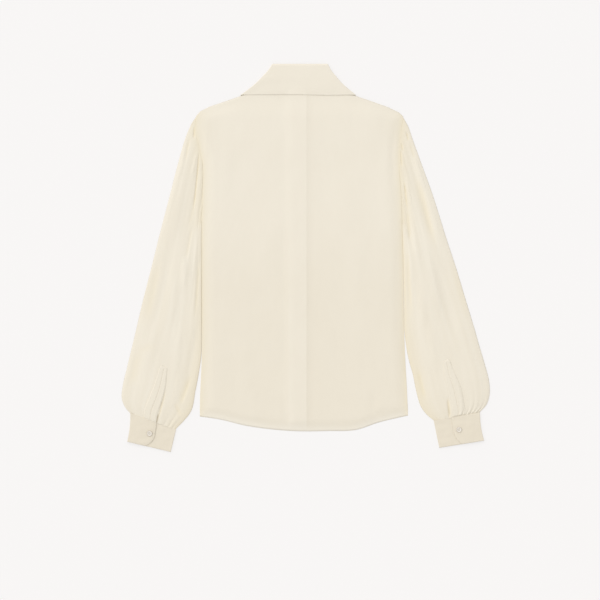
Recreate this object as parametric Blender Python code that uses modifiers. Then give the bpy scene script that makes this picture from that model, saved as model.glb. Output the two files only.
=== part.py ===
"""A silk blouse laid flat on its front: cloth walls lying on each other, every piece its own object.

The frame is in metres. +Z points up from the surface, +Y towards the collar and +X towards the
wearer's right sleeve. The surface is z = 0. Tables and sizes below are in millimetres.
"""

from collections import namedtuple

import bmesh
import bpy
import numpy as np

MM = 0.001
WALL = 1.0
GAP = 0.3
LAYER = WALL + GAP
FLOOR_LAYER = WALL / 2

SILK = (0.81, 0.75, 0.64, 1.0)
SILK_ROUGHNESS = 0.6
SHELL = (0.86, 0.84, 0.78, 1.0)
SHELL_ROUGHNESS = 0.3

Point = namedtuple("Point", "x y")
Fold = namedtuple("Fold", "x0 y0 x1 y1 x2 y2 width height")

# The shoulder, armhole and side of each half, from the shoulder tip round.
LEFT_SHOULDER = (Point(-219, 284), Point(-211, 293), Point(-193, 302.4), Point(-157, 314.4),
                 Point(-89.6, 337.6))
RIGHT_SHOULDER = (Point(194.5, 283), Point(186, 291), Point(164, 301.6), Point(129, 314), Point(61.2, 337))
LEFT_SIDE = (
    Point(-219, 284), Point(-221.5, 260), Point(-213, 222), Point(-206.5, 190), Point(-206, 132),
    Point(-207.6, 72), Point(-207.6, -100), Point(-208, -204), Point(-211, -274), Point(-211.8, -317),
)
RIGHT_SIDE = (
    Point(194.5, 283), Point(190, 241), Point(187.2, 216), Point(187.2, 174), Point(189.6, 134),
    Point(192.2, 72), Point(194.6, -4), Point(197.4, -172), Point(202, -263), Point(204.4, -315),
)
ARMHOLE_POINTS = 6
ARMHOLE_GAP = 1.2
BACK_NECK = (Point(-89.6, 337.6), Point(-78, 348), Point(-50, 355), Point(-11.6, 357), Point(25, 355),
             Point(51, 348), Point(61.2, 337))
HEM = (
    Point(-211.8, -317), Point(-174, -322.6), Point(-118, -335.8), Point(-83, -341), Point(-27, -346),
    Point(46, -346), Point(99, -344), Point(149, -328), Point(178, -321), Point(204.4, -315),
)
FRONT_HEM_RISE = 9.0

# The front opening: each front's free edge, the neck seam and the band that the two fronts share.
BAND_LEFT_X = -31.6
BAND_RIGHT_X = 1.4
BAND_RAMP = 7.0
BAND_STEP = LAYER + 0.2
FRONT_TOP_Y = 276.0
LEFT_FRONT_NECK = (Point(-89.6, 337.6), Point(-81, 316), Point(-59, 292), Point(-31.6, 279),
                   Point(1.4, 276))
RIGHT_FRONT_NECK = (Point(61.2, 337), Point(53.5, 316), Point(34, 292), Point(1.4, 278),
                    Point(-31.6, 276))
BUTTON_X = (BAND_LEFT_X + BAND_RIGHT_X) / 2
FRONT_BUTTON_YS = tuple(236.0 - 88.0 * step for step in range(6))
STAND_BUTTON_Y = 292.0
BUTTON_RADIUS = 5.6
BUTTON_HEIGHT = 1.8
BUTTON_RISE = BUTTON_HEIGHT + GAP
BUTTON_RISE_INNER = 10.0
BUTTON_RISE_OUTER = 24.0
BUTTON_ROW_REACH = (-22.0, -7.0, 7.0, 22.0)
BUTTON_STEPS = 14
BUTTON_MERGE = 0.00005
# The outline of half a button, as shares of its radius and height.
BUTTON_PROFILE = ((0, 0.72), (0.62, 0.72), (0.74, 1.0), (0.94, 1.0), (1.0, 0.5), (0.88, 0.0), (0, 0.0))

# The fronts rise over the collar points, which lie under them.
COLLAR_X = -11.6
COLLAR_LEAN = 0.115
COLLAR_RISE = LAYER
COLLAR_RISE_Y = (200.0, 229.0)
COLLAR_RISE_HALF_WIDTH = (139.0, 172.0)

# How far the back stands above the fronts between its edges, where air is caught under it.
LOFT = 2.4
LOFT_RIM = 26.0
LOFT_TOP_Y = 320.0
LOFT_TOP_RAMP = 40.0

# Where the grids of the body's panels have their columns and rows.
LEFT_FRONT_XS = (-219, -185, -152, -120, -89.6, -75, -58, -39.6, -36.1, -32.6, -22.1, -8.1, 1.4)
RIGHT_FRONT_XS = (-31.6, -22.1, -8.1, 1.4, 10, 27, 45, 61.2, 93, 128, 162, 194.5)
FRONT_MORE_YS = (192.0, -256.0, -288.0, -316.0, -337.0)
BACK_COLUMN_XS = (-219, -205, -190, -168, -143, -116, -89.6, -78, -62, -46, -39.6, -36.1, -32.6, -15, 1.4,
                  5, 8.4, 22, 38, 51, 61.2, 88, 118, 144, 166, 180, 194.5)
BACK_ROW_YS = (284, 268, 252, 232, 216, 200, 176, 146, 110, 72, 34, -10, -58, -106, -154, -202, -246,
               -280, -304, -317)

# Soft ridges (height above 0) and troughs of the back, each along a bent line.
FOLD_STEPS = 25
FOLD_FADE = 0.3
BODY_FOLDS = (
    Fold(-150, 250, -165, 150, -160, 40, 14, 0.5),
    Fold(178, 262, 170, 200, 176, 120, 9, -0.8),
    Fold(-120, -120, -128, -220, -118, -320, 16, 0.6),
    Fold(140, -260, 136, -300, 130, -330, 9, -0.7),
    Fold(-44, -270, -40, -310, -36, -345, 10, -0.6),
    Fold(96, 60, 110, -60, 104, -190, 20, 0.5),
)

# Sleeves, from the shoulder tip down the outer edge and from the underarm down the inner edge.
Gathers = namedtuple("Gathers", "waves start end height length unevenness")
Sleeve = namedtuple("Sleeve", "outward side outer inner head wrist placket folds")
Cuff = namedtuple("Cuff", "top_out top_in low_out low_in lap_end lap_corner button")
SLEEVE_LENGTH = 620.0
SLEEVE_DOME_POWER = 2.6
SLEEVE_EVENNESS = 0.8
SLEEVE_TOP_COLUMNS = 33
SLEEVE_UNDER_COLUMNS = 11
SLEEVE_ROWS = (0, 0.013, 0.035, 0.075, 0.13, 0.21, 0.31, 0.42, 0.53, 0.64, 0.74, 0.82, 0.885, 0.93,
               0.962, 0.985, 1)
# How far along the sleeve, and the height of its upper cloth there.
SLEEVE_HEIGHTS = ((0, 1.8), (0.035, 3.6), (0.1, 4.8), (0.3, 5.4), (0.6, 5.4), (0.86, 6.0), (0.95, 5.0),
                  (0.985, 3.9), (1, 3.2))
EDGE_TURN_Z = 1.2
UNDER_INSET = 0.009
GATHER_RISE = 7.0
GATHER_FADE = 0.12
FOLD_INSET = 0.1
LEFT_SLEEVE = Sleeve(
    outward=-1,
    side=LEFT_SIDE,
    outer=(Point(-227.6, 270), Point(-234.6, 255), Point(-255.6, 188), Point(-270, 132), Point(-292.4, 46),
           Point(-307.2, -14), Point(-327.6, -94), Point(-344, -164), Point(-358, -222),
           Point(-366.6, -260), Point(-368, -280), Point(-362, -297), Point(-350.4, -309.4)),
    inner=(Point(-208.9, 20), Point(-208.9, -60), Point(-208.9, -140), Point(-210.4, -200),
           Point(-214.6, -234), Point(-220.6, -265), Point(-231, -309), Point(-243.6, -325),
           Point(-259.6, -341.6)),
    head=Gathers(11, 0.0, 0.8, 1.1, 45.0, 0.03),
    wrist=(Gathers(11, 0.02, 0.3, 0.5, 20.0, 0.02), Gathers(10, 0.6, 0.97, 0.8, 22.0, 0.03)),
    placket=((0.772, 0.44, 0.535), (0.827, 0.418, 0.565), (0.882, 0.398, 0.575), (0.937, 0.38, 0.585),
             (0.992, 0.312, 0.578)),
    folds=(
        Fold(-212, 218, -229, 100, -244, 6, 6, -1.6),
        Fold(-218, -124, -228, -194, -240, -284, 7, -1.1),
        Fold(-266, 60, -286, -68, -312, -182, 14, -1.2),
        Fold(-238, 12, -240, -34, -248, -78, 9, 1.0),
        Fold(-238, 205, -250, 120, -270, 20, 12, 0.8),
        Fold(-300, -120, -320, -190, -340, -250, 13, 0.8),
    ),
)
RIGHT_SLEEVE = Sleeve(
    outward=1,
    side=RIGHT_SIDE,
    outer=(Point(203.2, 266), Point(213.2, 238.4), Point(235.6, 176), Point(251, 134), Point(266.8, 85),
           Point(278.8, 46), Point(298.6, -14), Point(322.8, -94), Point(338, -144), Point(347.6, -178),
           Point(358, -213), Point(366.4, -246), Point(367.6, -272), Point(362, -292),
           Point(347.8, -307)),
    inner=(Point(194.6, 34), Point(195.9, -4), Point(197.5, -90), Point(198.6, -150), Point(206, -200),
           Point(214.2, -233), Point(222.4, -272), Point(230.8, -298), Point(241, -312),
           Point(255.8, -324)),
    head=Gathers(11, 0.0, 0.8, 1.1, 45.0, -0.03),
    wrist=(Gathers(12, 0.03, 0.36, 1.3, 18.0, 0.02), Gathers(9, 0.64, 0.96, 0.7, 22.0, 0.03)),
    placket=((0.762, 0.44, 0.53), (0.82, 0.418, 0.578), (0.877, 0.395, 0.58), (0.935, 0.395, 0.59),
             (0.992, 0.35, 0.6)),
    folds=(
        Fold(196, 156, 208, 70, 211, -4, 6, -1.5),
        Fold(211, -4, 224, -80, 230, -154, 7, -1.1),
        Fold(193, 244, 230, 130, 263, 8, 9, -1.5),
        Fold(263, 8, 282, -80, 304, -174, 13, -1.0),
        Fold(226, -64, 232, -104, 236, -144, 8, 1.0),
        Fold(218, 200, 244, 110, 276, 10, 11, 0.8),
    ),
)
PLACKET_ROWS = 11
PLACKET_COLUMNS = 4

# Cuffs, with the far end of the lap as a share of the width, and where its cut corner begins.
LEFT_CUFF = Cuff((-350.6, -310.2), (-259.4, -342.4), (-357, -367.2), (-270.2, -387.8), 0.58, 0.42,
                 (-312.2, -350.6))
RIGHT_CUFF = Cuff((347.8, -307.8), (255.8, -324.8), (356.2, -365), (267, -379.4), 0.62, 0.5,
                  (306.0, -343.0))
CUFF_ROWS = (0, 0.3, 0.6, 0.8, 1)
CUFF_CORNER_START = 0.6
CUFF_LAP_Z = 3.5
CUFF_INNER_Z = 2.2
CUFF_LAP_COLUMNS = (1, 0.82, 0.6, 0.38, 0.18)
CUFF_UNDER_COLUMNS = (0.12, 0.3, 0.5, 0.7, 0.88)
CUFF_INNER_COLUMNS = (0.85, 0.72, 0.58, 0.44, 0.3)
SEAM_GAP = 0.5
COLLAR_BACK_COLUMNS = 10
COLLAR_FRONT_COLUMNS = 7
STAND_ROWS = (0.02, 0.35, 0.7, 1.0)

# The collar and its stand, for the half on the left; the other half mirrors it at COLLAR_X.
COLLAR_FOLD = (Point(-67.4, 387.8), Point(-75.8, 375), Point(-87, 363), Point(-98.6, 351),
               Point(-114, 338.4), Point(-130.8, 325.9))
COLLAR_ROLL_FRONT = (Point(-67.4, 387.8), Point(-62.4, 376), Point(-59, 358), Point(-46, 331),
                     Point(-17.6, 308))
COLLAR_TIP = Point(-103.6, 248)
COLLAR_OUTER_FRONT = (Point(-130.8, 325.9), Point(-120, 284), Point(-103.6, 248))
COLLAR_FALL_DIP = 2.0
STAND_FOLD = (Point(-68.6, 381.5), Point(-77.5, 361), Point(-88.6, 342.3))
STAND_ROLL_FRONT = (Point(-68.6, 381.5), Point(-66.2, 371), Point(-62.4, 356.5), Point(-50, 328.5),
                    Point(-22, 306), Point(1.4, 302.5))
TURN_Z = FLOOR_LAYER + 2 * LAYER
STAND_TURN = LAYER
COLLAR_TURNS = (LAYER, 1.87 * LAYER, 2 * LAYER)
COLLAR_ROWS = (0.006, 0.016, 0.032, 0.12, 0.3, 0.52, 0.76, 1.0)
NECK_HALF_WIDTH = (60.0, 88.0)
TURN_ANGLES = (0, 45, 90, 135, 180)
DIRECTION_STEP = 0.02


def smooth(value):
    """0 below 0, 1 above 1, and an even slope-free step between them."""
    value = np.clip(value, 0.0, 1.0)
    return value * value * (3.0 - 2.0 * value)


def curve(points, at):
    """The smooth curve through the points, at shares of its length from 0 to 1."""
    points = np.asarray(points, float)
    steps = np.linalg.norm(np.diff(points[:, :2], axis=0), axis=1)
    knots = np.concatenate([[0.0], np.cumsum(steps)]) / steps.sum()
    slopes = np.gradient(points, knots, axis=0, edge_order=1)
    at = np.atleast_1d(at)
    index = np.clip(np.searchsorted(knots, at, side="right") - 1, 0, len(knots) - 2)
    span = (knots[index + 1] - knots[index])[:, None]
    t = ((at - knots[index]) / span[:, 0])[:, None]
    start, end = points[index], points[index + 1]
    return (
        start * (1 + 2 * t) * (1 - t) ** 2
        + end * t * t * (3 - 2 * t)
        + slopes[index] * span * t * (1 - t) ** 2
        + slopes[index + 1] * span * t * t * (t - 1)
    )


def crossing(points, at, axis):
    """The points where the curve through a list, rising or falling along an axis, meets given values."""
    dense = curve(points, np.linspace(0, 1, 400))
    along = dense[:, axis]
    order = np.argsort(along)
    other = np.interp(at, along[order], dense[order, 1 - axis])
    return np.stack([at, other] if axis == 0 else [other, at], axis=1)


def polyline(points, at):
    """The points where the straight-sided line through a list meets given x values."""
    points = np.asarray(points, float)
    order = np.argsort(points[:, 0])
    return np.stack([at, np.interp(at, points[order, 0], points[order, 1])], axis=1)


def patch(top, bottom, left, right, u, v, corners=None):
    """A grid of plan points inside four edges: top and bottom run along u, left and right along v.

    The corners are top left, top right, bottom left and bottom right, and need stating only where u or
    v stops short of them.
    """
    if corners is None:
        corners = (top[0], top[-1], bottom[0], bottom[-1])
    top_left, top_right, bottom_left, bottom_right = (np.array(corner) for corner in corners)
    u, v = np.asarray(u)[None, :, None], np.asarray(v)[:, None, None]
    across = left[:, None] * (1 - u) + right[:, None] * u
    down = top[None] * (1 - v) + bottom[None] * v
    corner_share = top_left * (1 - u) * (1 - v) + top_right * u * (1 - v)
    corner_share = corner_share + bottom_left * (1 - u) * v + bottom_right * u * v
    return across + down - corner_share


def lift_to(plan, heights):
    """The plan points with their heights."""
    return np.concatenate([plan, heights[..., None]], axis=-1)


def fold_height(folds, x, y):
    """The soft ridges (height above 0) and troughs (below 0) of a table, each along a bent line."""
    total = np.zeros_like(x)
    steps = np.linspace(0, 1, FOLD_STEPS)
    for fold in folds:
        path_x = (1 - steps) ** 2 * fold.x0 + 2 * steps * (1 - steps) * fold.x1 + steps**2 * fold.x2
        path_y = (1 - steps) ** 2 * fold.y0 + 2 * steps * (1 - steps) * fold.y1 + steps**2 * fold.y2
        apart = np.hypot(x[..., None] - path_x, y[..., None] - path_y)
        nearest = apart.argmin(axis=-1)
        ends = smooth(np.minimum(steps, 1 - steps) / FOLD_FADE)[nearest]
        total += fold.height * ends * np.exp(-((apart.min(axis=-1) / fold.width) ** 2))
    return total


# Heights of the body's layers, as the middle of each wall over the surface.


def button_rise(x, y):
    """How far the fronts stand off the surface where a button lies under them."""
    rise = np.zeros_like(x)
    for button_y in (*FRONT_BUTTON_YS, STAND_BUTTON_Y):
        from_button = np.hypot(x - BUTTON_X, y - button_y)
        share = (BUTTON_RISE_OUTER - from_button) / (BUTTON_RISE_OUTER - BUTTON_RISE_INNER)
        rise = np.maximum(rise, BUTTON_RISE * smooth(share))
    return rise


def collar_rise(x, y):
    """How far the fronts stand off the surface over the collar points."""
    low_y, high_y = COLLAR_RISE_Y
    full, none = COLLAR_RISE_HALF_WIDTH
    across = smooth((none - np.abs(x - COLLAR_X)) / (none - full))
    return COLLAR_RISE * across * smooth((y - low_y) / (high_y - low_y))


def right_front_z(x, y):
    """The right front lies nearest the surface, and its edge laps under the left front."""
    return FLOOR_LAYER + np.maximum(button_rise(x, y), collar_rise(x, y))


def left_front_z(x, y):
    """The left front climbs over the right front's edge to make the band of double cloth."""
    return right_front_z(x, y) + BAND_STEP * smooth((x - BAND_LEFT_X + 1 + BAND_RAMP) / BAND_RAMP)


def back_z(x, y):
    """The back lies on the fronts at its edges, shows the step of their band and holds air between."""
    left, right = (crossing(side, y.ravel(), 1)[:, 0].reshape(y.shape) for side in (LEFT_SIDE, RIGHT_SIDE))
    shoulder = polyline(LEFT_SHOULDER + RIGHT_SHOULDER[::-1], x.ravel())[:, 1].reshape(x.shape)
    hem = crossing(HEM, x.ravel(), 0)[:, 1].reshape(x.shape)
    band = smooth((x - BAND_LEFT_X + 1 + BAND_RAMP) / BAND_RAMP)
    band *= smooth((BAND_RIGHT_X + BAND_RAMP - x) / BAND_RAMP)
    from_edge = np.minimum.reduce([x - left, right - x, shoulder - y, y - hem])
    loft = LOFT * smooth(from_edge / LOFT_RIM) * smooth((LOFT_TOP_Y - y) / LOFT_TOP_RAMP)
    near, far = NECK_HALF_WIDTH
    at_neck = smooth((far - np.abs(x - COLLAR_X)) / (far - near)) * smooth((y - LOFT_TOP_Y) / LOFT_RIM)
    z = FLOOR_LAYER + LAYER + collar_rise(x, y) + BAND_STEP * np.maximum(band, at_neck) + loft
    return z + fold_height(BODY_FOLDS, x, y) * smooth(from_edge / LOFT_RIM)


def body_grid(shoulder, neck_edge, outer_side, inner_side, hem, xs, ys, height):
    """A body panel: columns at chosen x, rows at chosen y of the inner side, heights from a function."""
    top = polyline(shoulder + neck_edge, xs)
    share = (xs - xs[0]) / (xs[-1] - xs[0])
    down = (ys[0] - ys) / (ys[0] - ys[-1])
    sides = []
    for side in (outer_side, inner_side):
        first, last = side[0][1], side[-1][1]
        sides.append(crossing(side, first + (last - first) * down, 1))
    left, right = sides if sides[0][0, 0] < sides[1][0, 0] else sides[::-1]
    left[0], right[0] = top[0], top[-1]
    bottom = crossing(hem, left[-1, 0] + (right[-1, 0] - left[-1, 0]) * share, 0)
    left[-1], right[-1] = bottom[0], bottom[-1]
    plan = patch(top, bottom, left, right, share, down)
    return lift_to(plan, height(plan[..., 0], plan[..., 1]))


def front_rows():
    """The y of each row of a front: close round each button, so that the cloth can rise over it."""
    rows = [FRONT_TOP_Y, *(y + reach for y in FRONT_BUTTON_YS for reach in BUTTON_ROW_REACH)]
    rows = [y for y in rows if y <= FRONT_TOP_Y]
    return np.array(sorted([*rows, *FRONT_MORE_YS], reverse=True))


def front_grid(shoulder, neck, side, edge_x, xs, height):
    hem = [(x, y + FRONT_HEM_RISE) for x, y in HEM]
    side = side[:-1] + (Point(side[-1].x, side[-1].y + FRONT_HEM_RISE),)
    edge_end = crossing(hem, np.array([edge_x]), 0)[0, 1]
    edge = (Point(edge_x, FRONT_TOP_Y), Point(edge_x, 0), Point(edge_x, edge_end))
    rows = front_rows()
    rows[-1] = edge_end
    return body_grid(shoulder, neck, side, edge, hem, np.asarray(xs, float), rows, height)


def back_grid():
    rows = np.array(BACK_ROW_YS)
    return body_grid(LEFT_SHOULDER[:-1], BACK_NECK + RIGHT_SHOULDER[::-1][1:], LEFT_SIDE, RIGHT_SIDE,
                     HEM, np.asarray(BACK_COLUMN_XS, float), rows, back_z)


# Sleeves: a tube from the armhole to the cuff, flat where it lies and domed above.


def sleeve_dome(across):
    """The height across a flattened tube: 0 at its two folded edges, 1 over most of its width."""
    return (1 - np.abs(2 * across - 1) ** SLEEVE_DOME_POWER) ** (1 / SLEEVE_DOME_POWER)


def gather_height(across, distance, gathers):
    """Small waves that start at a seam, highest just off it, and die away down the cloth."""
    phase = gathers.waves * (across + gathers.unevenness * np.sin(5.1 * across + 0.7))
    share = (across - gathers.start) / (gathers.end - gathers.start)
    within = smooth(share / GATHER_FADE) * smooth((1 - share) / GATHER_FADE)
    rise = smooth(distance / GATHER_RISE) * np.exp(-distance / gathers.length)
    return gathers.height * within * rise * np.cos(2 * np.pi * phase)


def sleeve_top(sleeve, plan, across, along):
    """The height of the upper cloth of a sleeve at plan points and their shares across and along it."""
    from_armhole = along * SLEEVE_LENGTH
    from_cuff = (1 - along) * SLEEVE_LENGTH
    rows = np.array(SLEEVE_HEIGHTS)
    height = np.interp(along, rows[:, 0], rows[:, 1])
    z = EDGE_TURN_Z + (height - EDGE_TURN_Z) * sleeve_dome(across)
    inside = smooth(np.minimum(across, 1 - across) / FOLD_INSET)
    seams = smooth(from_armhole / GATHER_RISE) * smooth(from_cuff / GATHER_RISE)
    z = z + fold_height(sleeve.folds, plan[..., 0], plan[..., 1]) * inside * seams
    z = z + gather_height(across, from_armhole, sleeve.head)
    for gathers in sleeve.wrist:
        z = z + gather_height(across, from_cuff, gathers)
    return z


def sleeve_plan(sleeve, across, along):
    """Plan points of a sleeve: the armhole at along 0, the cuff at 1, its outer edge at across 0."""
    seam = [(x + sleeve.outward * ARMHOLE_GAP, y) for x, y in sleeve.side[:ARMHOLE_POINTS]]
    armhole = curve(seam, across)
    cuff = curve([sleeve.outer[-1], sleeve.inner[-1]], across)
    outer, inner = curve([seam[0], *sleeve.outer], along), curve([seam[-1], *sleeve.inner], along)
    corners = (seam[0], seam[-1], sleeve.outer[-1], sleeve.inner[-1])
    return patch(armhole, cuff, outer, inner, across, along, corners)


def sleeve_grid(sleeve):
    """The whole tube: each row goes over the top from the outer edge, then back underneath."""
    along = np.array(SLEEVE_ROWS)
    over = 0.5 - 0.5 * np.cos(np.linspace(0, np.pi, SLEEVE_TOP_COLUMNS))
    over = SLEEVE_EVENNESS * np.linspace(0, 1, SLEEVE_TOP_COLUMNS) + (1 - SLEEVE_EVENNESS) * over
    under = np.linspace(1 - UNDER_INSET, UNDER_INSET, SLEEVE_UNDER_COLUMNS)
    across, rows = np.meshgrid(over, along)
    top_plan = sleeve_plan(sleeve, over, along)
    top = lift_to(top_plan, sleeve_top(sleeve, top_plan, across, rows))
    under_plan = sleeve_plan(sleeve, under[::-1], along)[:, ::-1]
    bottom = lift_to(under_plan, np.full(under_plan.shape[:2], FLOOR_LAYER))
    return np.concatenate([top, bottom], axis=1), top


def inside_grid(grid, rows, columns):
    """Points on a grid's surface at shares of its rows and columns, straight between its own points."""
    row = np.clip(rows, 0, 1) * (grid.shape[0] - 1)
    column = np.clip(columns, 0, 1) * (grid.shape[1] - 1)
    r, c = np.minimum(row.astype(int), grid.shape[0] - 2), np.minimum(column.astype(int), grid.shape[1] - 2)
    dr, dc = (row - r)[..., None], (column - c)[..., None]
    upper = grid[r, c] * (1 - dc) + grid[r, c + 1] * dc
    lower = grid[r + 1, c] * (1 - dc) + grid[r + 1, c + 1] * dc
    return upper * (1 - dr) + lower * dr


# Cuffs: a band that goes from its buttoned end round the outer edge, underneath and back inside.


def cuff_grid(cuff):
    shares = np.array(CUFF_ROWS)
    rows = []
    for share in shares:
        start = np.array(cuff.top_out) * (1 - share) + np.array(cuff.low_out) * share
        end = np.array(cuff.top_in) * (1 - share) + np.array(cuff.low_in) * share
        width = np.linalg.norm(end - start)
        corner = np.clip((share - CUFF_CORNER_START) / (1 - CUFF_CORNER_START), 0, 1)
        lap = width * (cuff.lap_end + (cuff.lap_corner - cuff.lap_end) * corner)
        route = [(lap * part, CUFF_LAP_Z) for part in CUFF_LAP_COLUMNS]
        route += edge_turn(CUFF_LAP_Z, FLOOR_LAYER, 0.0, 1)
        route += [(width * part, FLOOR_LAYER) for part in CUFF_UNDER_COLUMNS]
        route += edge_turn(FLOOR_LAYER, CUFF_INNER_Z, width, -1)
        route += [(width * part, CUFF_INNER_Z) for part in CUFF_INNER_COLUMNS]
        across, z = np.array(route).T
        plan = start + (end - start) * (across / width)[:, None]
        rows.append(lift_to(plan, z))
    return np.array(rows)


def edge_turn(z_from, z_to, edge, inward):
    """The half circle in which a wall turns over at an edge, as (across, z) pairs."""
    radius = abs(z_from - z_to) / 2
    middle = (z_from + z_to) / 2
    turn = []
    for angle in np.radians(TURN_ANGLES):
        out = radius * np.sin(angle)
        turn.append((edge + inward * (radius - out + WALL / 2), middle + (z_from - middle) * np.cos(angle)))
    return turn


def placket_grid(sleeve, top):
    """The strip over the sleeve's slit: points of the sleeve's own cloth, moved out by one layer."""
    along, left, right = np.array(sleeve.placket).T
    steps = np.linspace(0, 1, PLACKET_ROWS)
    rows = np.interp(steps, np.linspace(0, 1, len(along)), along)
    row_share = np.interp(rows, SLEEVE_ROWS, np.linspace(0, 1, len(SLEEVE_ROWS)))
    starts = np.interp(steps, np.linspace(0, 1, len(along)), left)
    ends = np.interp(steps, np.linspace(0, 1, len(along)), right)
    part = np.linspace(0, 1, PLACKET_COLUMNS)[None]
    across = starts[:, None] * (1 - part) + ends[:, None] * part
    over = 0.5 - 0.5 * np.cos(np.linspace(0, np.pi, SLEEVE_TOP_COLUMNS))
    over = SLEEVE_EVENNESS * np.linspace(0, 1, SLEEVE_TOP_COLUMNS) + (1 - SLEEVE_EVENNESS) * over
    column_share = np.interp(across, over, np.linspace(0, 1, SLEEVE_TOP_COLUMNS))
    strip = inside_grid(top, np.repeat(row_share[:, None], PLACKET_COLUMNS, axis=1), column_share)
    strip[..., 2] += LAYER + GAP
    return strip


# The collar and its stand: bands that run from one front end round behind the neck to the other.


def mirrored(points):
    """The points of the left half, mirrored to the right, where the collar lies a little closer in."""
    return [(2 * COLLAR_X - x - COLLAR_LEAN * (COLLAR_FOLD[0].y - y), y) for x, y in points]


def turned_edge(fold, shares, turns, outward):
    """Columns in which a band turns over a fold, upper first, with a half circle for each row."""
    line = curve(fold, shares)
    ahead = curve(fold, np.clip(shares + DIRECTION_STEP, 0, 1))
    ahead -= curve(fold, np.clip(shares - DIRECTION_STEP, 0, 1))
    inward = np.stack([-ahead[:, 1], ahead[:, 0]], axis=1) * -outward
    inward /= np.linalg.norm(inward, axis=1, keepdims=True)
    columns = []
    for angle in np.radians(TURN_ANGLES):
        plan = line + inward * (turns * (1 - np.sin(angle)) + WALL / 2)[:, None]
        columns.append(lift_to(plan, TURN_Z + turns * np.cos(angle)))
    return np.stack(columns, axis=1)


def collar_grid():
    shares = np.array(COLLAR_ROWS)
    turns = np.full(len(shares), COLLAR_TURNS[-1])
    turns[: len(COLLAR_TURNS)] = COLLAR_TURNS
    left_turn = turned_edge(COLLAR_FOLD, shares, turns, -1)
    right_turn = turned_edge(mirrored(COLLAR_FOLD), shares, turns, 1)
    steps = np.linspace(0, 1, COLLAR_BACK_COLUMNS + 2)[1:-1]
    roll = [COLLAR_FOLD[0], mirrored(COLLAR_FOLD)[0]]
    fall = [COLLAR_FOLD[-1], (COLLAR_X, COLLAR_FOLD[-1].y + COLLAR_FALL_DIP), mirrored(COLLAR_FOLD)[-1]]
    corners = (*roll, fall[0], fall[-1])
    plan = patch(curve(roll, steps), curve(fall, steps), curve(COLLAR_FOLD, shares),
                 curve(mirrored(COLLAR_FOLD), shares), steps, shares, corners)
    back = lift_to(plan, np.repeat((TURN_Z + turns)[:, None], len(steps), axis=1))
    fronts = []
    steps = np.linspace(0, 1, COLLAR_FRONT_COLUMNS + 1)[1:]
    for flip in (list, mirrored):
        roll, outer = curve(flip(COLLAR_ROLL_FRONT), steps), curve(flip(COLLAR_OUTER_FRONT), steps)
        end = curve(flip([COLLAR_ROLL_FRONT[-1], COLLAR_TIP]), shares)
        fold = flip(COLLAR_FOLD)
        corners = (fold[0], flip(COLLAR_ROLL_FRONT)[-1], fold[-1], flip([COLLAR_TIP])[0])
        plan = patch(roll, outer, curve(fold, shares), end, steps, shares, corners)
        fronts.append(lift_to(plan, np.repeat((TURN_Z - turns)[:, None], len(steps), axis=1)))
    left_front, right_front = fronts
    return np.concatenate(
        [left_front[:, ::-1], left_turn[:, ::-1], back, right_turn, right_front], axis=1
    )


def seam_points(neck, xs, toward):
    """The points of a panel's own neck edge, at its columns, moved off by the gap of a seam."""
    ends = sorted((neck[0].x, neck[-1].x))
    own = polyline(neck, [x for x in xs if ends[0] <= x <= ends[1]]) + (toward * SEAM_GAP, SEAM_GAP)
    return own if neck[0].x < neck[-1].x else own[::-1]


def length_shares(points):
    """How far along a line each of its points lies, from 0 to 1."""
    steps = np.linalg.norm(np.diff(points, axis=0), axis=1)
    return np.concatenate([[0.0], np.cumsum(steps)]) / steps.sum()


def stand_grid():
    shares = np.array(STAND_ROWS)
    turns = np.full(len(shares), STAND_TURN)
    left_turn = turned_edge(STAND_FOLD, shares, turns, -1)
    right_turn = turned_edge(mirrored(STAND_FOLD), shares, turns, 1)
    seam = seam_points(BACK_NECK, BACK_COLUMN_XS, 0.0)
    steps = length_shares(seam)
    roll = [STAND_FOLD[0], mirrored(STAND_FOLD)[0]]
    plan = patch(curve(roll, steps), seam, curve(STAND_FOLD, shares), curve(mirrored(STAND_FOLD), shares),
                 steps, shares, (*roll, seam[0], seam[-1]))[:, 1:-1]
    back = lift_to(plan, np.full(plan.shape[:2], TURN_Z + STAND_TURN))
    fronts = []
    for flip, neck, xs, toward, height in (
        (list, LEFT_FRONT_NECK, LEFT_FRONT_XS, 1, left_front_z),
        (mirrored, RIGHT_FRONT_NECK, RIGHT_FRONT_XS, -1, right_front_z),
    ):
        seam = seam_points(neck, xs, toward)
        steps = length_shares(seam)
        roll = flip(STAND_ROLL_FRONT[:-1]) + [(neck[-1].x, STAND_ROLL_FRONT[-1].y)]
        end = curve([roll[-1], seam[-1]], shares)
        corners = (roll[0], roll[-1], seam[0], seam[-1])
        plan = patch(curve(roll, steps), seam, curve(flip(STAND_FOLD), shares), end, steps, shares, corners)
        plan = plan[:, 1:]
        fronts.append(lift_to(plan, height(plan[..., 0], plan[..., 1])))
    left_front, right_front = fronts
    return np.concatenate(
        [left_front[:, ::-1], left_turn[:, ::-1], back, right_turn, right_front], axis=1
    )


# Objects.


def material(name, colour, roughness):
    made = bpy.data.materials.new(name)
    made.use_nodes = True
    shader = made.node_tree.nodes["Principled BSDF"]
    shader.inputs["Base Color"].default_value = colour
    shader.inputs["Roughness"].default_value = roughness
    shader.inputs["Metallic"].default_value = 0.0
    made.diffuse_color = colour
    return made


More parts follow.
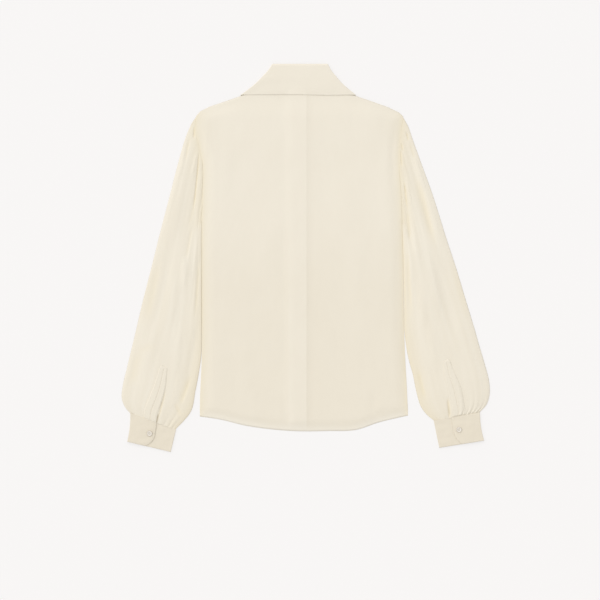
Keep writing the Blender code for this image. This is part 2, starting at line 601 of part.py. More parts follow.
def cloth(name, grid, finish, parent, tube=False):
    """A wall of cloth from a grid of points in millimetres: an open surface, thickened both ways."""
    rows, columns = grid.shape[:2]
    mesh = bpy.data.meshes.new(name)
    bm = bmesh.new()
    points = [[bm.verts.new(point * MM) for point in row] for row in grid]
    for r in range(rows - 1):
        for c in range(columns if tube else columns - 1):
            after = (c + 1) % columns
            bm.faces.new((points[r][c], points[r + 1][c], points[r + 1][after], points[r][after]))
    bm.to_mesh(mesh)
    bm.free()
    mesh.shade_smooth()
    made = bpy.data.objects.new(name, mesh)
    made.parent = parent
    thicken = made.modifiers.new("Wall", "SOLIDIFY")
    thicken.thickness = WALL * MM
    thicken.offset = 0.0
    mesh.materials.append(finish)
    parent.users_collection[0].objects.link(made)
    return made


def button(name, x, y, z, face_up, finish, parent):
    """A turned button with a raised rim, its face up or down."""
    mesh = bpy.data.meshes.new(name)
    points = [(radius * BUTTON_RADIUS * MM, 0, height * BUTTON_HEIGHT * MM)
              for radius, height in BUTTON_PROFILE]
    mesh.from_pydata(points, [(i, i + 1) for i in range(len(points) - 1)], [])
    made = bpy.data.objects.new(name, mesh)
    made.parent = parent
    made.location = (x * MM, y * MM, (z if face_up else z + BUTTON_HEIGHT) * MM)
    made.rotation_euler = (0.0 if face_up else np.pi, 0, 0)
    turn = made.modifiers.new("Turn", "SCREW")
    turn.steps = turn.render_steps = BUTTON_STEPS
    turn.use_merge_vertices = True
    turn.merge_threshold = BUTTON_MERGE
    mesh.materials.append(finish)
    parent.users_collection[0].objects.link(made)
    return made


def build():
    for old in list(bpy.data.objects):
        bpy.data.objects.remove(old, do_unlink=True)
    collection = bpy.data.collections.new("silk_blouse")
    bpy.context.scene.collection.children.link(collection)
    blouse = bpy.data.objects.new("blouse", None)
    collection.objects.link(blouse)
    silk, shell = material("silk", SILK, SILK_ROUGHNESS), material("shell", SHELL, SHELL_ROUGHNESS)

    cloth("back", back_grid(), silk, blouse)
    cloth("front_left", front_grid(LEFT_SHOULDER[:-1], LEFT_FRONT_NECK, LEFT_SIDE, BAND_RIGHT_X,
                                   LEFT_FRONT_XS, left_front_z), silk, blouse)
    cloth("front_right", front_grid(RIGHT_SHOULDER[:-1], RIGHT_FRONT_NECK, RIGHT_SIDE, BAND_LEFT_X,
                                    RIGHT_FRONT_XS, right_front_z), silk, blouse)
    cloth("collar", collar_grid(), silk, blouse)
    cloth("collar_stand", stand_grid(), silk, blouse)
    for side, sleeve, cuff in (("left", LEFT_SLEEVE, LEFT_CUFF), ("right", RIGHT_SLEEVE, RIGHT_CUFF)):
        tube, top = sleeve_grid(sleeve)
        cloth(f"sleeve_{side}", tube, silk, blouse, tube=True)
        cloth(f"sleeve_placket_{side}", placket_grid(sleeve, top), silk, blouse)
        cloth(f"cuff_{side}", cuff_grid(cuff), silk, blouse)
        button(f"button_cuff_{side}", *cuff.button, CUFF_LAP_Z + WALL / 2 + GAP, True, shell, blouse)
    for number, y in enumerate(FRONT_BUTTON_YS, start=1):
        button(f"button_front_{number}", BUTTON_X, y, 0.0, False, shell, blouse)
    button("button_stand", BUTTON_X, STAND_BUTTON_Y, 0.0, False, shell, blouse)


build()
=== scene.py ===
"""The looks of a silk blouse laid flat on its front: cloth, seams, buttons, floor, light and camera.

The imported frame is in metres, with +Z up from the surface, +Y towards the collar and +X towards the
wearer's right sleeve. Tables and sizes below are in millimetres, and mesh_of turns them into metres.
"""

from collections import namedtuple

import bpy
import numpy as np
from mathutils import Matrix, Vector


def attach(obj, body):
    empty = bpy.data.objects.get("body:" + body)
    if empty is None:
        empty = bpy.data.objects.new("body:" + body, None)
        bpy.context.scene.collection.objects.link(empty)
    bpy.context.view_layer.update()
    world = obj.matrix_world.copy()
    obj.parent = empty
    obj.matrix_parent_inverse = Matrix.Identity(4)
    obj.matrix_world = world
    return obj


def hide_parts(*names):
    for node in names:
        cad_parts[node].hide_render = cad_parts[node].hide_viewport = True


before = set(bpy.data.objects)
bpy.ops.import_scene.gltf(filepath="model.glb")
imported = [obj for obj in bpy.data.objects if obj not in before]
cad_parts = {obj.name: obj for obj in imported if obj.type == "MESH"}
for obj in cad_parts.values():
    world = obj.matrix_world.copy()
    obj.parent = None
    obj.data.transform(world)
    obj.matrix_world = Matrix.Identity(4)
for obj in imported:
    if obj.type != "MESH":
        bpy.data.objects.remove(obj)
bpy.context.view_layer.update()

MM = 0.001

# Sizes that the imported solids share, so that each piece lies where its solid does.
WALL = 1.0
GAP = 0.3
LAYER = 1.3
FLOOR_LAYER = 0.25
SILK_THICKNESS = 0.36
DOUBLE_THICKNESS = 0.7

Point = namedtuple("Point", "x y")
Fold = namedtuple("Fold", "x0 y0 x1 y1 x2 y2 width height lean", defaults=(0.0,))


def points(*pairs):
    return tuple(Point(*pair) for pair in pairs)


def soft_folds(*rows):
    return tuple(Fold(*row) for row in rows)


# How curves, folds and uneven waves are worked out.
CURVE_SAMPLES = 400
FOLD_STEPS = 14
FOLD_END_SHARE = 0.35
LATTICE = 64
FINE_WAVE_SHARE = 0.4

# The shoulder, armhole and side of each half, from the shoulder tip round.
LEFT_SHOULDER = points((-219, 284), (-211, 293), (-193, 302.4), (-157, 314.4), (-89.6, 337.6))
RIGHT_SHOULDER = points((194.5, 283), (186, 291), (164, 301.6), (129, 314), (61.2, 337))
LEFT_SIDE = points((-219, 284), (-221.5, 260), (-213, 222), (-206.5, 190), (-206, 132), (-207.6, 72),
                   (-207.6, -100), (-208, -204), (-211, -274), (-211.8, -317))
RIGHT_SIDE = points((194.5, 283), (190, 241), (187.2, 216), (187.2, 174), (189.6, 134), (192.2, 72),
                    (194.6, -4), (197.4, -172), (202, -263), (204.4, -315))
ARMHOLE_TUCKS = (-1.2, -2.0, -2.0, -2.0, -1.0, 0.45)
BACK_NECK = points((-89.6, 337.6), (-78, 348), (-50, 355), (-11.6, 357), (25, 355), (51, 348),
                   (61.2, 337))
HEM = points((-211.8, -317), (-174, -322.6), (-118, -335.8), (-83, -341), (-27, -346), (46, -346),
             (99, -344), (149, -328), (178, -321), (204.4, -315))
FRONT_HEM_RISE = 9.0

# The front opening: each front's free edge, the neck seam and the band that the two fronts share.
BAND_LEFT_X = -31.6
BAND_RIGHT_X = 1.4
BAND_RAMP = 7.0
BAND_STEP = LAYER + 0.2
FRONT_TOP_Y = 276.0
LEFT_FRONT_NECK = points((-89.6, 337.6), (-81, 316), (-59, 292), (-31.6, 279), (1.4, 276))
RIGHT_FRONT_NECK = points((61.2, 337), (53.5, 316), (34, 292), (1.4, 278), (-31.6, 276))
BUTTON_X = (BAND_LEFT_X + BAND_RIGHT_X) / 2
FRONT_BUTTON_YS = tuple(236.0 - 88.0 * step for step in range(6))
STAND_BUTTON_Y = 292.0
BUTTON_RADIUS = 5.6
BUTTON_HEIGHT = 1.8
BUTTON_RISE = BUTTON_HEIGHT + GAP
BUTTON_RISE_INNER = 10.0
BUTTON_RISE_OUTER = 24.0

# The fronts rise over the collar points, which lie under them: from where, and to where, in y and across.
COLLAR_X = -11.6
COLLAR_LEAN = 0.115
COLLAR_RISE = LAYER
COLLAR_RISE_Y = (165.0, 244.0)
COLLAR_RISE_HALF_WIDTH = (188.0, 128.0)

# How far the back stands above the fronts between its edges, where air is caught under it.
LOFT = 2.4
LOFT_RIM = 26.0
LOFT_TOP_Y = 320.0
LOFT_TOP_RAMP = 40.0

# Soft ridges (height above 0) and troughs of the back, each along a bent line.
BODY_FOLDS = soft_folds(
    (-150, 250, -165, 150, -160, 40, 14, 0.5),
    (178, 262, 170, 200, 176, 120, 9, -0.8),
    (-120, -120, -128, -220, -118, -320, 16, 0.6),
    (140, -260, 136, -300, 130, -330, 9, -0.7),
    (-44, -270, -40, -310, -36, -345, 10, -0.6),
    (96, 60, 110, -60, 104, -190, 20, 0.5),
)

# The finer creases of the back, then of each sleeve.
BACK_CREASES = soft_folds(
    (136, -316, 145, -308, 172, -296, 6, -0.7, 0.3),
    (136, -320, 128, -332, 118, -343, 7, 0.5),
    (-40, -327, -34, -320, -22, -305, 6, -0.5, 0.3),
    (-186, -300, -196, -280, -203, -250, 8, -0.5),
    (-70, 120, -82, 20, -64, -70, 26, 0.5),
    (84, 210, 90, 120, 82, 30, 24, 0.5),
    (150, 60, 158, -40, 150, -150, 22, 0.5),
    (-176, 60, -184, -60, -178, -170, 18, -0.4),
    (186, 270, 181, 225, 180, 180, 5, 0.6, 0.3),
    (-204, 262, -199, 235, -196, 200, 6, 0.6, -0.3),
)
LEFT_SLEEVE_CREASES = soft_folds(
    (-222.6, 263, -223.2, 250, -223.4, 236, 1.7, -1.3),
    (-212.6, 224, -216.5, 165, -226.4, 84, 1.5, -1.8, -0.2),
    (-219, 140, -225, 100, -236, 50, 3.6, -0.6, -0.3),
    (-217, 214, -222, 190, -229, 158, 2.6, 0.9),
    (-208.6, 196, -209.6, 170, -212, 140, 2.0, 0.3),
    (-231, 246, -236, 216, -243, 186, 3.4, -0.8, 0.3),
    (-238, 226, -246, 190, -256, 150, 4.5, 0.8, 0.2),
    (-226, 70, -232, 30, -241, -10, 3.6, -0.7, 0.2),
    (-240, 6, -242, -30, -243, -66, 5.0, 1.0, 0.3),
    (-216, 120, -217, 40, -224, -50, 6, 0.8, -0.3),
    (-213.4, 20, -216, -60, -222, -130, 3.0, -0.9),
    (-256, -20, -262, -80, -272, -150, 8, 0.9, 0.2),
    (-290, 10, -306, -70, -322, -140, 10, -0.8, 0.3),
    (-246, -120, -256, -190, -262, -250, 8, 1.0, 0.3),
    (-330, -180, -342, -220, -350, -262, 9, -0.6, -0.2),
    (-300, -170, -318, -185, -340, -184, 7, -0.45),
    (-278.4, -258, -287.4, -292, -296.6, -332, 1.8, -1.5, 0.2),
    (-229, -232, -240, -268, -254, -300, 5, -1.2, 0.3),
    (-262, -286, -256, -304, -248, -318, 3.6, -0.9),
)
RIGHT_SLEEVE_CREASES = soft_folds(
    (200.4, 254, 203, 244, 206.6, 233, 1.6, -1.5),
    (190.6, 231, 192.4, 222, 195.2, 212, 1.7, -1.4),
    (189.6, 218, 190.6, 200, 192.6, 178, 1.7, -1.2),
    (196.6, 156, 199.6, 124, 204.2, 92, 1.6, -1.9),
    (204, 100, 206, 66, 208.6, 28, 3.2, -1.0, 0.2),
    (201, 168, 206, 128, 214, 84, 3.2, 1.0, 0.2),
    (216, 208, 226, 180, 240, 130, 5, 1.0, 0.2),
    (208, 232, 213, 214, 219, 194, 2.8, -0.9),
    (218.2, 180, 240, 100, 262, 13, 6.5, -1.1, 0.25),
    (206, 130, 220, 40, 226, -30, 6, 0.8, -0.3),
    (240, 30, 258, -50, 268, -120, 8, 1.0, 0.2),
    (292, 10, 312, -60, 326, -130, 9, -0.6, 0.2),
    (202, 24, 206, -50, 212, -120, 3.4, -0.9, 0.2),
    (244, -120, 256, -180, 262, -236, 9, 0.9, 0.2),
    (322, -170, 338, -210, 346, -262, 9, 0.6, -0.2),
    (283, -276, 286.4, -300, 287.6, -326, 2.0, -2.2),
    (222, -216, 232, -252, 240, -290, 4.6, -1.1, 0.3),
)

# Sleeves: outer runs from the shoulder tip down the outer edge and inner from the underarm down the other.
# powers square off the tube's two sides; the next field is painted shade beside the body, and the one before
# seed is the line along which painted shade marks the end of its slit. A row of placket has a share along
# the sleeve and the shares across it of the strip's two edges.
# Gathers are waves between two shares across, with a height and a length down the cloth.
Gathers = namedtuple("Gathers", "waves start end height length unevenness")
Sleeve = namedtuple("Sleeve", "outward side outer inner powers edge_tone head wrist placket folds "
                              "creases mouth seed")
Cuff = namedtuple("Cuff", "top_out top_in low_out low_in lap_end lap_corner button seam_tone")
SLEEVE_LENGTH = 620.0
SLEEVE_EVENNESS = 0.8
SLEEVE_TOP_COLUMNS = 110
SLEEVE_UNDER_COLUMNS = 20
SLEEVE_ROWS = 190
SLEEVE_END_CLOSENESS = 0.75
TUCK_SHARE = 0.01
TUCK_LIFT = 0.4
SLEEVE_WAVE = 0.42
# Sizes of a sleeve's uneven waves, in hundredths of its width and its length.
SLEEVE_WAVES = ((9, 26), (4, 10))
SLEEVE_SIDE_SHARE = 0.1
HEAD_SIDE_SHARE = 0.03
# How far along the sleeve, and the height of its upper cloth there.
SLEEVE_HEIGHTS = ((0, 4.6), (0.09, 4.9), (0.3, 5.4), (0.6, 5.4), (0.86, 6.0), (0.95, 5.0), (0.985, 3.9),
                  (1, 3.2))
# The most that height can be at each distance from the armhole seam: low down, where the seam is a groove,
# and from the shoulder tip to SEAM_FLUSH_Y, where the two cloths run level.
GROOVE_HEIGHTS = ((0, 0.9), (2.1, 0.9), (3.3, 1.5), (8, 2.2), (20, 3.0), (40, 4.0), (80, 6.0))
FLUSH_HEIGHTS = ((0, 0.9), (1.8, 1.15), (2.6, 1.6), (8, 2.2), (20, 3.0), (40, 4.0), (80, 6.0))
SEAM_FLUSH_Y = (178.0, 222.0)
SEAM_SAMPLES = 400
EDGE_TURN_Z = 0.8
CUFF_TUCK = 2.2
CUFF_TUCK_INSET = 1.2
CUFF_TUCK_ROWS = 0.0045
CUFF_TUCK_Z = 2.75
CUFF_TUCK_UNDER = 0.8
UNDER_INSET = 0.009
UNDER_CREASE_SHARE = 0.4
GATHER_RISE = 7.0
GATHER_END_SHARE = 0.12
# How the gathers vary, as size, rate and start: in spacing, in length and in depth.
GATHER_SPACING = (5.1, 0.7)
GATHER_LENGTHS = (0.45, 2.3, 1.1)
GATHER_DEPTHS = (0.35, 1.7, 0.4)
CREASE_RISE = 3.5
LEAST_TOP_Z = 0.75
LEFT_SLEEVE = Sleeve(
    outward=-1,
    side=LEFT_SIDE,
    outer=points((-227.6, 270), (-234.6, 255), (-255.6, 188), (-270, 132), (-292.4, 46), (-307.2, -14),
                 (-327.6, -94), (-344, -164), (-358, -222), (-366.6, -260), (-368, -280), (-362, -297),
                 (-350.4, -309.4)),
    inner=points((-208.9, 20), (-208.9, -60), (-208.9, -140), (-210.4, -200), (-214.6, -234),
                 (-220.6, -265), (-231, -309), (-243.6, -325), (-259.6, -341.6)),
    powers=(2.2, 2.3),
    edge_tone=0.1,
    head=(Gathers(7, 0.05, 0.8, 0.2, 46.0, 0.15),),
    wrist=(Gathers(10, 0.02, 0.3, 0.45, 20.0, 0.04), Gathers(10, 0.6, 0.97, 0.7, 24.0, 0.05)),
    placket=((0.772, 0.44, 0.535), (0.827, 0.418, 0.565), (0.882, 0.398, 0.575), (0.937, 0.38, 0.585),
             (1.0, 0.31, 0.578)),
    folds=soft_folds(
        (-212, 218, -229, 100, -244, 6, 6, -0.4),
        (-218, -124, -228, -194, -240, -284, 7, -1.1),
        (-266, 60, -286, -68, -312, -182, 14, -1.2),
        (-238, 12, -240, -34, -248, -78, 9, 1.0),
        (-238, 205, -250, 120, -270, 20, 12, 0.8),
        (-300, -120, -320, -190, -340, -250, 13, 0.8),
    ),
    creases=LEFT_SLEEVE_CREASES,
    mouth=Fold(-294.4, -309, -296.4, -321, -300, -336, 1.2, 0.9),
    seed=41,
)
RIGHT_SLEEVE = Sleeve(
    outward=1,
    side=RIGHT_SIDE,
    outer=points((203.2, 266), (213.2, 238.4), (235.6, 176), (251, 134), (266.8, 85), (278.8, 46),
                 (298.6, -14), (322.8, -94), (338, -144), (347.6, -178), (358, -213), (366.4, -246),
                 (367.6, -272), (362, -292), (347.8, -307)),
    inner=points((194.6, 34), (195.9, -4), (197.5, -90), (198.6, -150), (206, -200), (214.2, -233),
                 (222.4, -272), (230.8, -298), (241, -312), (255.8, -324)),
    powers=(2.2, 1.5),
    edge_tone=0.9,
    head=(Gathers(7, 0.05, 0.8, 0.2, 46.0, -0.15),),
    wrist=(Gathers(12.6, 0.0, 0.5, 1.25, 20.0, 0.012), Gathers(9, 0.64, 0.96, 0.5, 22.0, 0.05)),
    placket=((0.762, 0.44, 0.53), (0.82, 0.418, 0.578), (0.877, 0.395, 0.58), (0.935, 0.395, 0.59),
             (1.0, 0.345, 0.6)),
    folds=soft_folds(
        (196, 156, 208, 70, 211, -4, 6, -1.5),
        (211, -4, 224, -80, 230, -154, 7, -1.1),
        (193, 244, 230, 130, 263, 8, 9, -2.5),
        (263, 8, 282, -80, 304, -174, 13, -2.0),
        (226, -64, 232, -104, 236, -144, 8, 1.0),
        (218, 200, 244, 110, 276, 10, 11, 0.8),
    ),
    creases=RIGHT_SLEEVE_CREASES,
    mouth=Fold(285.6, -294, 287.2, -306, 289, -318, 1.2, 0.12),
    seed=57,
)
PLACKET_ROWS = 80
PLACKET_COLUMNS = 56
PLACKET_EDGE = 0.09
PLACKET_SEAM = 0.52
PLACKET_SEAM_WIDTH = 0.03
PLACKET_SEAM_DEPTH = 0.6
PLACKET_TONE = 0.28
# Painted shade along the placket's sewn groove.
PLACKET_SEAM_SHADE = 0.5
PLACKET_REST = 0.35
PLACKET_END_SHARE = 0.03
PLACKET_SEAM_START = 0.06
PLACKET_END = 0.95
PLACKET_END_RAMP = 0.02
PLACKET_RISE = 0.6

# Cuffs: the corners of the band, the far end of its lap as a share of the width at the seam and at the
# edge, the button and how much painted shade darkens its seam with the sleeve and the placket's end there.
LEFT_CUFF = Cuff((-350.6, -310.2), (-259.4, -342.4), (-357, -367.2), (-270.2, -387.8), 0.58, 0.42,
                 (-312.2, -350.6), 0.03)
RIGHT_CUFF = Cuff((347.8, -307.8), (255.8, -324.8), (356.2, -365), (267, -379.4), 0.62, 0.5,
                  (306.0, -343.0), 0.22)
CUFF_ROWS = 46
CUFF_ROW_POWER = 1.4
CUFF_SEAM_DROP = 0.4
CUFF_SEAM_ROWS = 3
CUFF_SEAM_REACH = 0.02
CUFF_CORNER_START = 0.5
CUFF_CORNER_POWER = 2.2
CUFF_LOW_Z = 0.36
CUFF_LAP_Z = 3.5
CUFF_INNER_Z = 2.2
CUFF_LAP_COLUMNS = 34
CUFF_UNDER_COLUMNS = 14
CUFF_INNER_COLUMNS = 44
CUFF_INNER_END = 0.3
CUFF_CROWN = 0.5
CUFF_CROWN_START = 0.15
CUFF_CROWN_SPAN = 0.7
CUFF_END_DROP = 0.45
CUFF_END_REACH = 3.0
CUFF_WAVE = 0.42
CUFF_WAVES = (11, 9, 21)
CUFF_WAVE_LOW = 0.1
CUFF_BOW = 2.0
TURN_FLATNESS = 0.35
TURN_STEPS = 7
TURN_SPAN = 0.02
SEAM_GAP = 0.5

# The collar and its stand, for the half on the left; the other half mirrors it at COLLAR_X.
COLLAR_FOLD = points((-67.4, 387.8), (-75.8, 375), (-87, 363), (-98.6, 351), (-114, 338.4),
                     (-130.8, 325.9))
COLLAR_ROLL_FRONT = points((-67.4, 387.8), (-62.4, 376), (-59, 358), (-46, 331), (-17.6, 308))
COLLAR_TIP = Point(-103.6, 248)
COLLAR_OUTER_FRONT = points((-130.8, 325.9), (-120, 284), (-103.6, 248))
COLLAR_FALL = points((-88, 326.3), (-12, 326.1), (48, 325.0))
STAND_FOLD = points((-68.6, 381.5), (-77.5, 361), (-88.6, 342.3))
STAND_ROLL_FRONT = points((-68.6, 381.5), (-66.2, 371), (-62.4, 356.5), (-50, 328.5), (-22, 306),
                          (1.4, 302.5))
TURN_Z = FLOOR_LAYER + 2 * LAYER
COLLAR_TOPS = ((0, 3.35), (0.032, 5.2), (0.4, 5.2), (0.75, 4.4), (1, 3.55))
COLLAR_EDGE_INSET = 0.02
STAND_TURN = LAYER
COLLAR_TURN_START = 0.2
COLLAR_LOW_Z = 0.36
COLLAR_FIRST_ROWS = np.array((0.0, 0.004, 0.01, 0.018, 0.032))
COLLAR_ROWS = 30
COLLAR_BACK_COLUMNS = 90
COLLAR_FRONT_COLUMNS = 30
COLLAR_WAVE = 0.35
COLLAR_WAVES = (46, 26, 31)
COLLAR_CALM = (0.06, 0.1)
COLLAR_REST_SIDE = 0.12
STAND_ROWS = 10
STAND_COLUMNS = 40
STAND_START = 0.02
NECK_HALF_WIDTH = (88.0, 60.0)

# How the looks' grids are laid out.
BACK_ROWS = 176
FRONT_ROWS = 96
FRONT_COLUMN_STEP = 4.5
BACK_COLUMN_STEP = 3.2
BACK_FINE_COLUMNS = ((-4, 26, 1.0), (-219, -200, 1.2), (176, 194, 1.2))
SIDE_REACH = 60.0

# The back's side seams and armholes, which turn down, and the small forms that only the looks hold.
SEAM_RADIUS = 0.6
SEAM_ANGLES = (0, 30, 60, 90)
SEAM_DROP = 0.4
SEAM_LOW_Z = 0.22
SEAM_FADE = 14.0
ARMHOLE_END_Y = 84.0
ARMHOLE_TURN = 0.2
ARMHOLE_FALL = 0.25
SIDE_FALL = 0.7
SIDE_FALL_WIDTH = 5.0
SIDE_FALL_TOP_Y = 84.0
SIDE_FALL_END_Y = -250.0
BAND_SHOW_RAMP = 16.0
BAND_SHOW_SPAN = 24.0
BAND_SHOW_DROP = 7.0
BACK_WAVE = 0.35
BACK_WAVES = ((34, 95, 5), (13, 31, 8))
CREASE_RIM = 14.0
HEM_WIDTH = 6.0
HEM_ROLL = 0.06
HEM_ROLL_WIDTH = 1.6
HEM_ROLL_TOP_Y = -290.0
HEM_FALL = 22.0
INNER_CLOSER = 0.8
GAP_TOP_Y = -205.0
COLLAR_REST = 0.62
COLLAR_REST_FROM = 0.45
COLLAR_CREASES = soft_folds(
    (-84, 362, -70, 356, -44, 354, 9, 0.5),
    (60, 372, 78, 352, 98, 334, 8, -0.5, 0.2),
    (-30, 340, 6, 336, 40, 340, 12, 0.4),
)

# How much deeper the tone of the back is at each y, and of a sleeve at each share along it.
BACK_TONES = ((-340, 0.4), (-60, 0.36), (0, 0.22), (60, 0.08), (120, 0.0), (340, 0.0))
SLEEVE_TONES = ((0, 0.2), (0.12, 0.1), (0.4, 0.12), (0.6, 0.22), (0.85, 0.15), (1, 0.35))
SLEEVE_STREAK = 0.22
SLEEVE_STREAK_SIZES = (5, 30)
SLEEVE_WIDTH = 110.0
# How far the painted shade beside the body reaches.
EDGE_SHADE_REACH = 6.0
# Painted shade along the back's right side seam, in the crevice beside the sleeve, and how far it reaches.
SIDE_SHADE = 0.8
SIDE_SHADE_REACH = 3.0
BAND_TONE_RAMP = 6.0
BAND_LIGHTER = 0.55
BESIDE_BAND_REACH = 45.0
BESIDE_BAND_TONE = 0.14
# Painted shade round the two shoulder tips: where they are, how deep it is and how far it reaches.
SHOULDER_TIPS = ((-212, 262), (190, 262))
SHOULDER_SHADE = 0.3
SHOULDER_SHADE_REACH = 34.0
# Painted light along the hem, against the shade where the cloth falls away to it, and how far up it reaches.
HEM_PAINTED_LIGHT = 0.75
HEM_PAINTED_LIGHT_REACH = 18.0

# Painted warm shade: in the sleeves' creases, beside the body and along the body's side seams.
WARM_SHADE_DEPTH = 1.5
CREASE_WARM_SHADE = 0.5
BESIDE_WARM_SHADE = 0.45
BESIDE_WARM_SHADE_REACH = 14.0
SEAM_WARM_SHADE = 0.5
SEAM_WARM_SHADE_REACH = 7.0

# Creases of the two fronts, which lie face down: they only rise, so that the underside stays flat.
FRONT_CREASES = soft_folds(
    (-150, 190, -158, 110, -146, 20, 9, 0.45, 0.2),
    (-96, 60, -104, -40, -98, -150, 13, 0.35, -0.2),
    (-182, -60, -190, -150, -184, -240, 7, 0.4, 0.3),
    (-60, -170, -66, -230, -58, -300, 10, 0.3),
    (64, 150, 74, 60, 66, -50, 12, 0.4, 0.2),
    (128, 90, 140, -10, 134, -120, 8, 0.5, -0.3),
    (160, -140, 152, -220, 158, -290, 6, 0.35, 0.3),
    (88, -180, 96, -250, 84, -310, 11, 0.3),
)


# Sewing: stitches, buttonholes and buttons.
STITCH_LENGTH = 2.0
STITCH_GAP = 0.6
STITCH_WIDTH = 0.34
STITCH_SIDES = 6
STITCH_FLATNESS = 0.7
STITCH_RINGS = ((0.1, 0.7), (0.3, 1.0), (0.7, 1.0), (0.9, 0.7))
BUTTONHOLE_LENGTH = 13.0
BUTTONHOLE_PITCH = 0.5
BUTTONHOLE_SLIT = 0.15
BUTTONHOLE_HALF_WIDTH = 1.25
BAR_STITCHES = 3
BUTTON_SIDES = 48
# A button's rings: how many, between which shares of its radius, on its dished middle and then on its rim.
BUTTON_RINGS = ((0.02, 0.6, 22), (0.64, 1.0, 12))
# Its underside, as shares of its radius and its height.
BUTTON_LOW = ((1.0, 0.28), (0.93, 0.0), (0.02, 0.0))
BUTTON_RADII = (0.0, 3.0, 3.5, 4.1, 4.7, 5.2, 5.6)
BUTTON_HEIGHTS = (1.2, 1.2, 1.35, 1.72, 1.8, 1.5, 0.8)
# Painted shade at each share of a button's radius: faint on its face, deep round its rim.
BUTTON_SHADES = ((0, 0.1), (0.5, 0.0), (0.62, 0.15), (0.8, 0.1), (0.9, 0.5), (1.0, 0.9))
# Painted shade in a button's holes.
HOLE_SHADE = 0.9
BUTTONHOLE_SHIFT = 1.6
HOLE_OFFSET = 1.15
HOLE_RADIUS = 0.5
HOLE_BEVEL = 0.28
HOLE_DEPTH = 0.95
THREAD_SPREAD = 0.22
HOLE_STITCH_WIDTH = 0.42
BUTTON_REST_Z = 0.02
BUTTON_TURN = 0.3
THREAD_LIFT = 0.06
SEW_STEP = 2.0
SEW_INSET = 5.0
SEW_SAMPLES = 60
BAND_SEW_INSET = 4.0
PLACKET_SEW_ROWS = (0.03, 0.97)
PLACKET_SEW_COLUMNS = (0.12, 0.44, 0.9)
CUFF_SEW_ROWS = (0.12, 0.965)
CUFF_SEW_SHARE = 0.05
CUFF_INNER_SEW = (0.35, 0.96)
COLLAR_SEW_ROW = 0.91
COLLAR_SEW_END = 0.004
UNDER_SEW_LIFT = 0.05

# Finishes. Colours are linear; the sizes of threads, patches and relief are in millimetres. A yarn has the
# direction of its rows, their pitch and how much they waver.
WAVE_PERIOD = 0.314159
YARNS = (("X", 0.32, 1.6), ("Y", 0.38, 2.4))
PEBBLE_SIZE = 0.9
PEBBLE_SHARE = 0.8
CRUMPLE_SIZE = 16.0
CRUMPLE_STRETCH = (1.0, 0.45, 1.0)
CRUMPLE_STRENGTH = 0.35
CRUMPLE_DEPTH = 0.9
WEAVE_STRENGTH = 0.25
WEAVE_DEPTH = 0.06
PATCH_SIZE = 60.0
PATCH_TONE = 0.35
SLUB_SIZE = 0.5
SLUB_STRETCH = (0.05, 1.0, 1.0)
SLUB_TONE = 0.25
WEAVE_TONE = 0.2
MEAN_TONE = 0.3
MEAN_SLUB = 0.5
MEAN_WEAVE = 0.6
SILK_ROUGHNESS = 0.6
SILK_SPECULAR = 0.3
SILK_SHEEN = 0.12
SHEEN_ROUGHNESS = 0.35
SHEEN_TINT = (1.0, 0.97, 0.9, 1.0)
SILK = (0.829, 0.773, 0.664, 1.0)
SILK_DEEP = (0.775, 0.71, 0.587, 1.0)
# The colour of painted shade in hollows: the end of a sleeve's slit and the cuff's seam under the placket.
SILK_HOLLOW_SHADE = (0.4, 0.33, 0.21, 1.0)
# The colour of painted warm shade.
SILK_WARM_SHADE = (0.812, 0.715, 0.511, 1.0)
CUFF_SILK = (0.775, 0.708, 0.585, 1.0)
CUFF_SILK_DEEP = (0.72, 0.645, 0.515, 1.0)
THREAD_LIGHT = (0.85, 0.8, 0.68, 1.0)
THREAD_DARK = (0.7, 0.63, 0.5, 1.0)
PLY_SCALE = 900.0
SHELL_SCALE = 420.0
SHELL_LAYERS = ((0.32, (0.72, 0.67, 0.57, 1.0)), (0.7, (0.82, 0.77, 0.68, 1.0)))
SHELL_CAST = (0.52, (0.81, 0.75, 0.67, 1.0))
# The colour of painted shade round a button's rim and in its holes.
SHELL_SHADE = (0.3, 0.23, 0.15, 1.0)

# The stage, in metres.
FLOOR_COLOUR = (0.33, 0.324, 0.321, 1.0)
FLOOR_GLOW = (0.588, 0.578, 0.572, 1.0)
FLOOR_SIZE = 12.0
FRAME_WIDTH = 1.2
CAMERA_X = -0.0116
CAMERA_Y = -0.084
CAMERA_LENS = 135.0
CAMERA_SENSOR = 36.0
AIR_LIGHT = 0.8
KEY_LIGHT = 1.2
KEY_ANGLE = 1.3
KEY_FROM = (-0.75, 0.75, 1.0)


# Curves and grids of points.


def smooth(value):
    """0 below 0, 1 above 1, and an even slope-free step between them."""
    value = np.clip(value, 0.0, 1.0)
    return value * value * (3.0 - 2.0 * value)


def eased(value, start, end):
    """0 at a start value and beyond, 1 at an end value, which may be the lower, and an even step between."""
    return smooth((value - start) / (end - start))


def faded(share, width):
    """1, but for an even fade to 0 over a width at each end of a share from 0 to 1."""
    return smooth(np.minimum(share, 1 - share) / width)


def look_up(table, at):
    """The values of a table of pairs, straight between its rows."""
    return np.interp(at, *np.array(table).T)


def lengths(line, axis=0):
    """How far each point of a line, or of a grid along an axis, lies from the first."""
    steps = np.linalg.norm(np.diff(line, axis=axis), axis=-1)
    return np.insert(np.cumsum(steps, axis=axis), 0, 0.0, axis=axis)


def length_shares(line):
    """How far along a line each of its points lies, from 0 to 1."""
    away = lengths(line)
    return away / away[-1]


